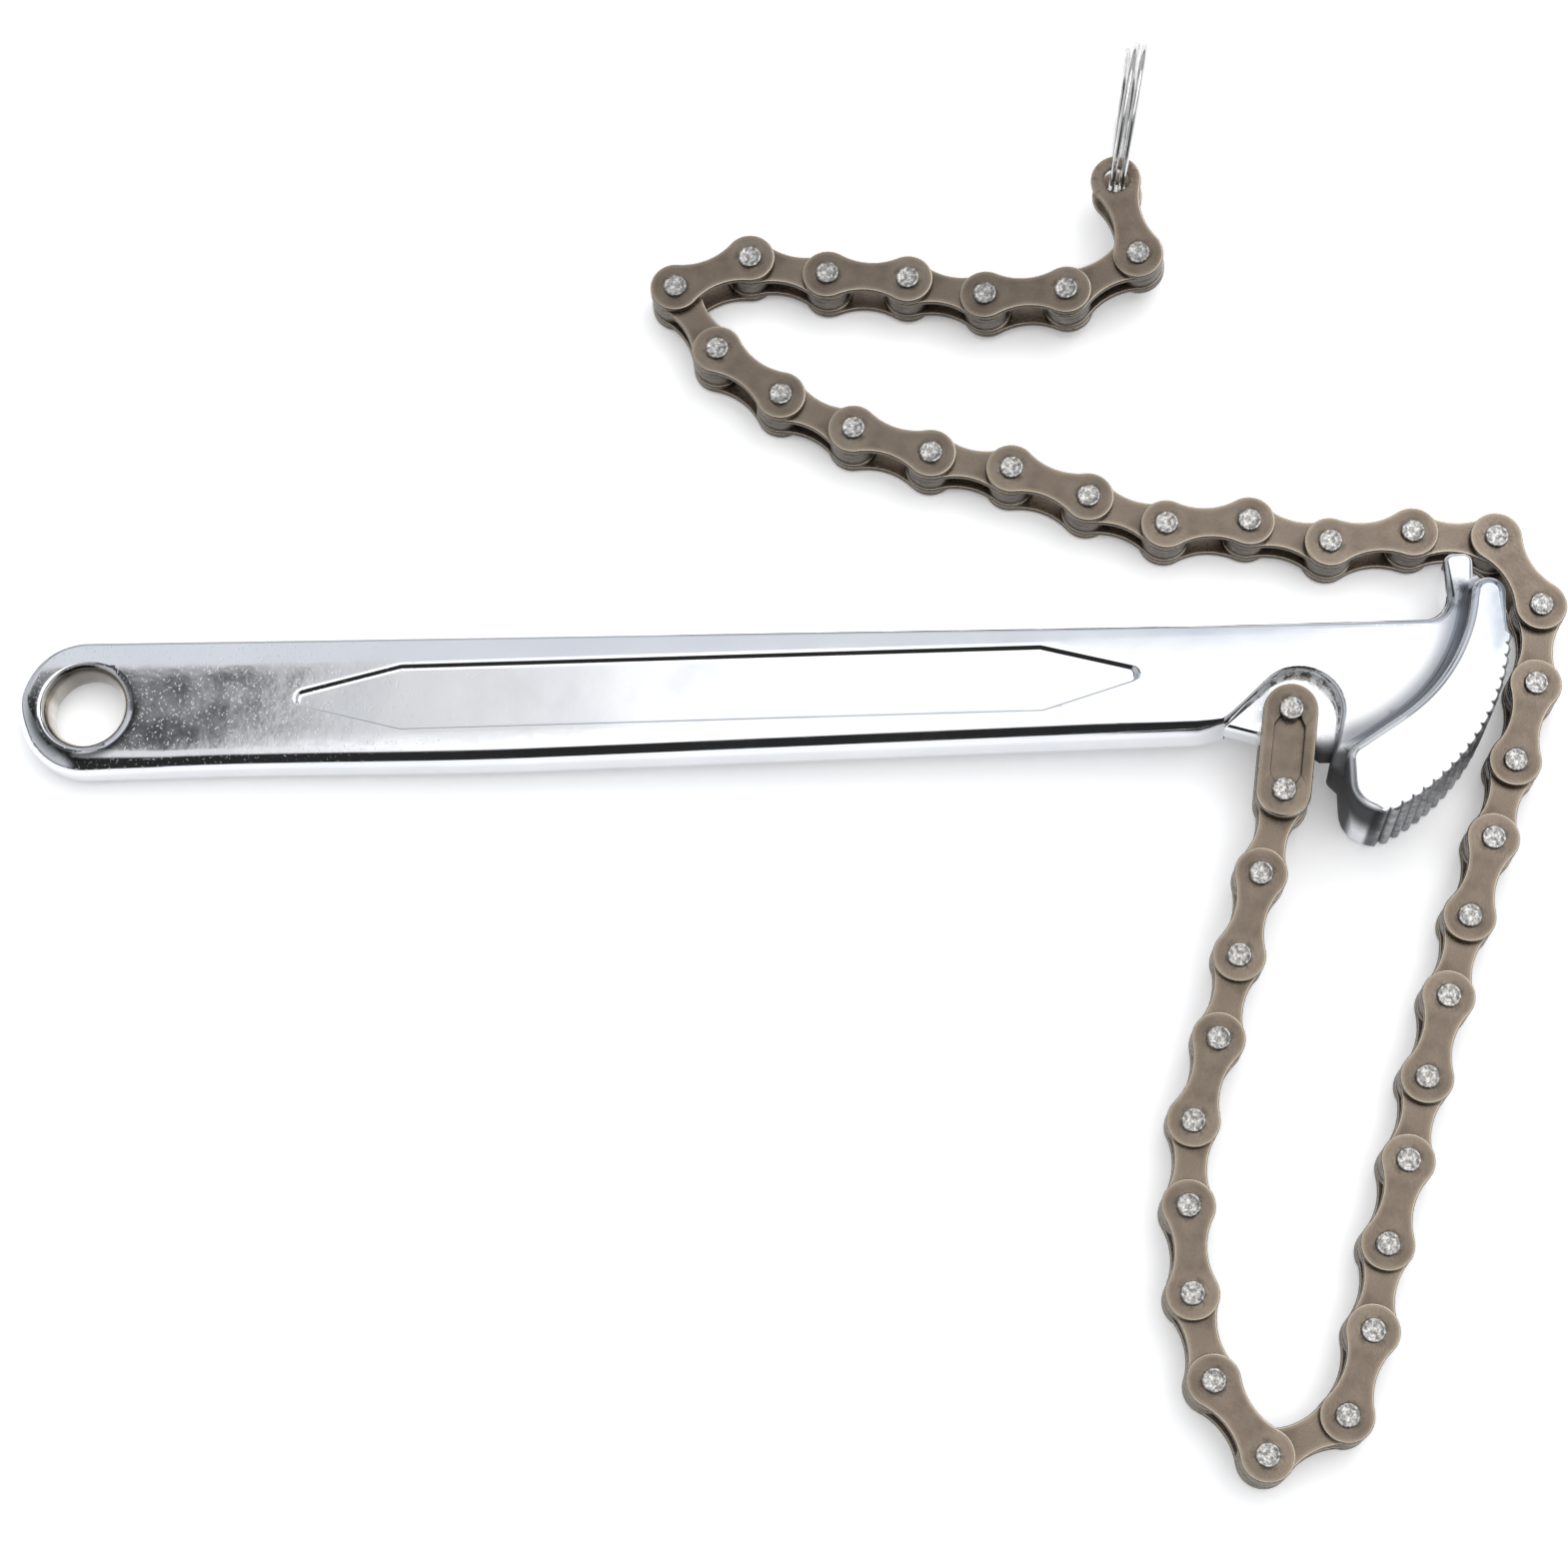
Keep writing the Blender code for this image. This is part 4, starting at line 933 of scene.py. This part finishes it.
def lug_outline():
    """The lug, which runs on a little into the web round the bay."""
    points = arc(BAY, BAY_RADIUS + LUG_ROOT, math.radians(-5), math.radians(135), 20)
    points += [APEX + Vector((-LUG_ROOT, LUG_ROOT / 2, 0)), APEX]
    points += arc(ANCHOR, LUG_RADIUS, math.radians(250), math.radians(290), 8)
    return points + [LUG_TOE, LUG_TOE + Vector((LUG_RADIUS, 0, 0))]


def build_handle():
    """Web, jaw and lug as one forging, with hollow fillets where they meet, then the hanging hole."""
    work = bmesh.new()
    plate(work, web_outline(), -GRIP_THICKNESS / 2, GRIP_THICKNESS / 2, web_rim, steps=7)
    web = object_of("handle_forging", mesh_of("web", work))
    web = boolean(web, [panel_cutter(side) for side in (1, -1)], "DIFFERENCE")
    crowned(web)

    back, heel, teeth = jaw_sides()
    work = bmesh.new()
    plate(work, back + heel + teeth, -JAW_HALF, JAW_HALF, jaw_rim, profile=JAW_RIM_PROFILE)
    jaw = object_of("jaw_blank", mesh_of("jaw", work))
    work = bmesh.new()
    plate(work, lug_outline(), -LUG_HALF, LUG_HALF, lambda point: LUG_RIM, steps=5)
    lug = object_of("lug_blank", mesh_of("lug", work))

    seam = [point for point in back[14:] + heel if point.y > WALL_FOOT.y + JAW_FILLET]
    strips = [fillet_strip(seam, GRIP_THICKNESS / 2, [JAW_FILLET] * len(seam), side) for side in (1, -1)]
    pocket = [point for point in bay_outline() if point.y > LUG_TOE.y + 0.5 * MM]
    bows = [math.sin(math.pi * i / (len(pocket) - 1)) for i in range(len(pocket))]
    radii = [POCKET_FILLET_ENDS + POCKET_FILLET_SWELL * bow for bow in bows]
    strips += [fillet_strip(pocket, LUG_HALF, radii, side) for side in (1, -1)]
    handle = boolean(web, [jaw, lug, *strips], "UNION")
    handle = boolean(handle, [hole_cutter()], "DIFFERENCE")
    handle.data.shade_smooth()
    handle.data.set_sharp_from_angle(angle=math.radians(32))
    weighted(handle)
    handle.matrix_world = HANDLE
    dress(handle, CHROME, "handle", "handle_chrome", "handle")


# Chain

def plate_outline():
    """A link plate: two round heads and hollow fillets that meet at its waist."""
    rise = WAIST_HALF + WAIST_FILLET
    side = math.atan2(rise, PITCH / 2)
    flank = math.pi / 2 - side
    far = arc((PITCH, 0), HEAD_RADIUS, -math.pi + side, math.pi - side, 30)
    near = arc((0, 0), HEAD_RADIUS, side, 2 * math.pi - side, 30)
    upper = arc((PITCH / 2, rise), WAIST_FILLET, -math.pi / 2 + flank, -math.pi / 2 - flank, 10)
    lower = arc((PITCH / 2, -rise), WAIST_FILLET, math.pi / 2 + flank, math.pi / 2 - flank, 10)
    return far[:-1] + upper[:-1] + near[:-1] + lower[:-1]


def stadium(radius):
    """A straight plate with two round ends, about both pins."""
    quarter = math.pi / 2
    return arc((PITCH, 0), radius, -quarter, quarter, 20) + arc((0, 0), radius, quarter, 3 * quarter, 20)


def plates(name, face, holes=()):
    """The two plates of a link, each with its near side at the same distance from the middle."""
    work = bmesh.new()
    for bottom in (face, -face - PLATE):
        plate(work, plate_outline(), bottom, bottom + PLATE, PLATE_BEVEL, holes=holes)
    return mesh_of(name, work)


def rollers(name):
    """The two rollers between the plates of an inner link."""
    work = bmesh.new()
    half = INNER_FACE - ROLLER_GAP
    rim = [(0, half)]
    for inset, drop in ((0.2, 0.0), (0.06, 0.06), (0.0, 0.2)):
        rim.append((ROLLER_RADIUS - inset * MM, half - drop * MM))
    for x in (0, PITCH):
        lathe(work, rim + mirrored(rim), (x, 0), 40)
    return mesh_of(name, work, math.radians(40))


def pin_body(work, centre, low, high):
    """A pin whose riveted ends are slightly dished, with a soft rim."""
    profile = [(0, high - PIN_DISH), (PIN_RADIUS * 0.62, high - PIN_DISH)]
    profile += [(PIN_RADIUS * 0.72, high - 0.7 * PIN_DISH), (PIN_RADIUS * 0.8, high)]
    for turn in (0.0, 0.5, 1.0, math.pi / 2):
        inset, drop = PIN_EDGE * (1 - math.sin(turn)), PIN_EDGE * (1 - math.cos(turn))
        profile.append((PIN_RADIUS - inset, high - drop))
    lathe(work, profile + mirrored(profile, (low + high) / 2), centre, 36)


def pins(name, places=(0, PITCH), top=PIN_HALF):
    work = bmesh.new()
    for x in places:
        pin_body(work, (x, 0), -PIN_HALF, top)
    return mesh_of(name, work)


def build_chain():
    outer, inner = plates("outer_plates", OUTER_FACE), plates("inner_plates", INNER_FACE)
    roll, pair = rollers("rollers"), pins("pins")
    last = len(LINKS)
    for number in range(2, last + 1):
        matrix = LINKS[number - 1]
        body = f"link_{number:02d}"
        if number % 2 == 0:
            made = object_of(f"inner_plates_{number:02d}", inner, matrix)
            dress(made, BROWN, body, "link_steel", f"inner_link_{number:02d}")
            dress(object_of(f"rollers_{number:02d}", roll, matrix), ROLLER, body, "link_steel")
        elif number < last:
            made = object_of(f"outer_plates_{number:02d}", outer, matrix)
            dress(made, BROWN, body, "link_steel", f"outer_link_{number:02d}")
            dress(object_of(f"pins_{number:02d}", pair, matrix), PIN, body, "pin_steel")
        else:
            hole = arc((PITCH, 0), END_HOLE_RADIUS, 2 * math.pi, 2 * math.pi / 36, 35)
            made = object_of("end_plates", plates("end_plates", OUTER_FACE, [hole]), matrix)
            dress(made, BROWN, body, "link_steel", f"end_link_{number:02d}")
            dress(object_of("end_pin", pins("end_pin", (0,)), matrix), PIN, body, "pin_steel")
        weighted(made)


def clip_window():
    """The opening of the spring clip, wide between the pins and narrower round them."""
    near = [(x * MM, y * MM, radius * MM) for x, y, radius in CLIP_WINDOW_END]
    far = [(PITCH - x, -y, radius) for x, y, radius in near]
    return rounded(near + far, 5)


def strap(name, radius, bottom, top, slot, node, holes=()):
    """A straight piece of the connecting link."""
    work = bmesh.new()
    plate(work, stadium(radius), bottom, top, COVER_BEVEL, holes=holes)
    made = object_of(name, mesh_of(name, work), LINKS[0])
    weighted(made)
    dress(made, COVER_BROWN, "link_01", slot, node)


def build_connecting_link():
    base = ("link_steel", "connecting_link_pin_plate")
    strap("connecting_base_plate", COVER_RADIUS, -OUTER_FACE - PLATE, -OUTER_FACE, *base)
    long_pins = object_of("connecting_pins", pins("connecting_pins", top=CLIP_PIN_TOP), LINKS[0])
    dress(long_pins, PIN, "link_01", "pin_steel")
    cover = ("link_steel", "connecting_link_cover_plate")
    strap("cover_plate", COVER_RADIUS, OUTER_FACE, OUTER_FACE + PLATE, *cover)
    clip = ("clip_steel", "spring_clip")
    strap("retaining_clip", CLIP_RADIUS, CLIP_FLOOR, CLIP_TOP, *clip, [clip_window()])


def build_ring():
    """The split ring: two open turns of wire through the end link's hole, standing on the floor."""
    hole = LINKS[-1] @ Vector((PITCH, 0, 0))
    height = RING_RADIUS + RING_WIRE + RING_PLAY
    ground = CHAIN_LEVEL - PIN_HALF
    outer_side = OUTER_FACE + PLATE
    levels = (hole.z - ground + outer_side, hole.z - ground - outer_side)
    reaches = [math.sqrt(RING_RADIUS**2 - (height - level) ** 2) for level in levels]
    centre = hole + heading(RING_TURN) * sum(reaches) / 2
    centre.z = ground + height
    matrix = Matrix.Translation(centre) @ Matrix.Rotation(RING_TURN, 4, "Z")
    work = bmesh.new()
    steps, sides = 96, 16
    aside = Vector((0, 1, 0))
    spokes = [2 * math.pi * j / sides for j in range(sides)]
    rows = []
    for i in range(2 * steps + 1):
        turn = 2 * math.pi * i / steps
        out = Vector((math.cos(turn), 0, math.sin(turn)))
        middle = RING_RADIUS * out + RING_LEAD * (i / steps - 1) * aside
        rows.append([
            work.verts.new(middle + RING_WIRE * (out * math.cos(spoke) + aside * math.sin(spoke)))
            for spoke in spokes
        ])
    skin(work, rows)
    work.faces.new(rows[0])
    work.faces.new(rows[-1][::-1])
    ring = object_of("ring_wire", mesh_of("ring_wire", work, math.radians(50)), matrix)
    dress(ring, WIRE, "ring", "ring_nickel", "split_ring")


# Stage, light and camera

def build_floor():
    work = bmesh.new()
    bmesh.ops.create_grid(work, x_segments=8, y_segments=8, size=3.0)
    floor = object_of("floor", mesh_of("floor", work))
    floor.location.z = -0.05 * MM
    glow = {"Emission_Color": (1, 1, 1, 1), "Emission_Strength": 0.2}
    s = Shader("pale_floor", (0.93, 0.93, 0.935), 0.0, 0.7, **glow)
    s.bump(s.noise(60, 2), 0.02 * MM, 0.1)
    floor.data.materials.append(s.made)


def build_sky():
    """A bright sky with panels overhead, dark near the horizon, and pale again low at the sides."""
    world = bpy.data.worlds.new("studio")
    scene.world = world
    world.use_nodes = True
    sky = Graph(world.node_tree, "Generated")
    x, y, z = (sky.axis(letter) for letter in "XYZ")
    measures = {"x": x, "y": y, "z": z, "aside": sky.maths("ABSOLUTE", x)}
    measures["rise"] = sky.total(z, sky.product(y, 0.2))
    measures["slant"] = sky.total(x, sky.product(sky.maths("SUBTRACT", 0.32, y), 0.3))

    def zone(steps, *more):
        return sky.product(sky.zone(measures, steps), *more)

    level = sky.total(*(zone(steps, gain) for gain, steps in SKY_PANELS), SKY_LEVEL)
    level = sky.product(level, sky.maths("SUBTRACT", 1.0, zone(SKY_FLAG, FLAG_STRENGTH)))
    low = sky.ramp(sky.span(z, -1.0, 1.0), LOW_SKY)
    around = zone(OVER_FLOOR, sky.maths("MAXIMUM", zone(SIDE_WALLS), zone(BACK_WALL)), SURROUND_STRENGTH)
    low = sky.mix(around, low, SURROUND)
    tint = sky.mix(zone(SKY_MIDDLE), SKY_EDGE_TINT, (1.0, 1.0, 1.0))
    bright = sky.mix(1.0, tint, level, "MULTIPLY")
    background = world.node_tree.nodes["Background"]
    sky.link(sky.mix(zone(SKY_OPEN), low, bright), background.inputs["Color"])
    background.inputs["Strength"].default_value = 1.0


def build_lamps():
    for name, place, size, power, seen in LAMPS:
        light = bpy.data.lights.new(name, "AREA")
        light.shape = "DISK"
        light.size = size
        light.energy = power
        obj = object_of(name, light)
        obj.location = place
        obj.visible_glossy = seen
        obj.rotation_mode = "QUATERNION"
        obj.rotation_quaternion = Vector(place).to_track_quat("Z", "Y")


def build_camera():
    camera = bpy.data.cameras.new("camera")
    camera.sensor_width = SENSOR_WIDTH
    camera.lens = CAMERA_FOCUS_PX * SENSOR_WIDTH / PHOTO_WIDTH_PX
    camera.clip_start = 0.02
    camera.clip_end = 20
    turn = Quaternion(CAMERA_TURN.normalized(), CAMERA_TURN.length).to_matrix().to_4x4()
    scene.camera = object_of("camera", camera, Matrix.Translation(CAMERA_PLACE) @ turn)


build_handle()
build_chain()
build_connecting_link()
build_ring()
build_floor()
build_sky()
build_lamps()
build_camera()
scene.view_settings.view_transform = "Standard"
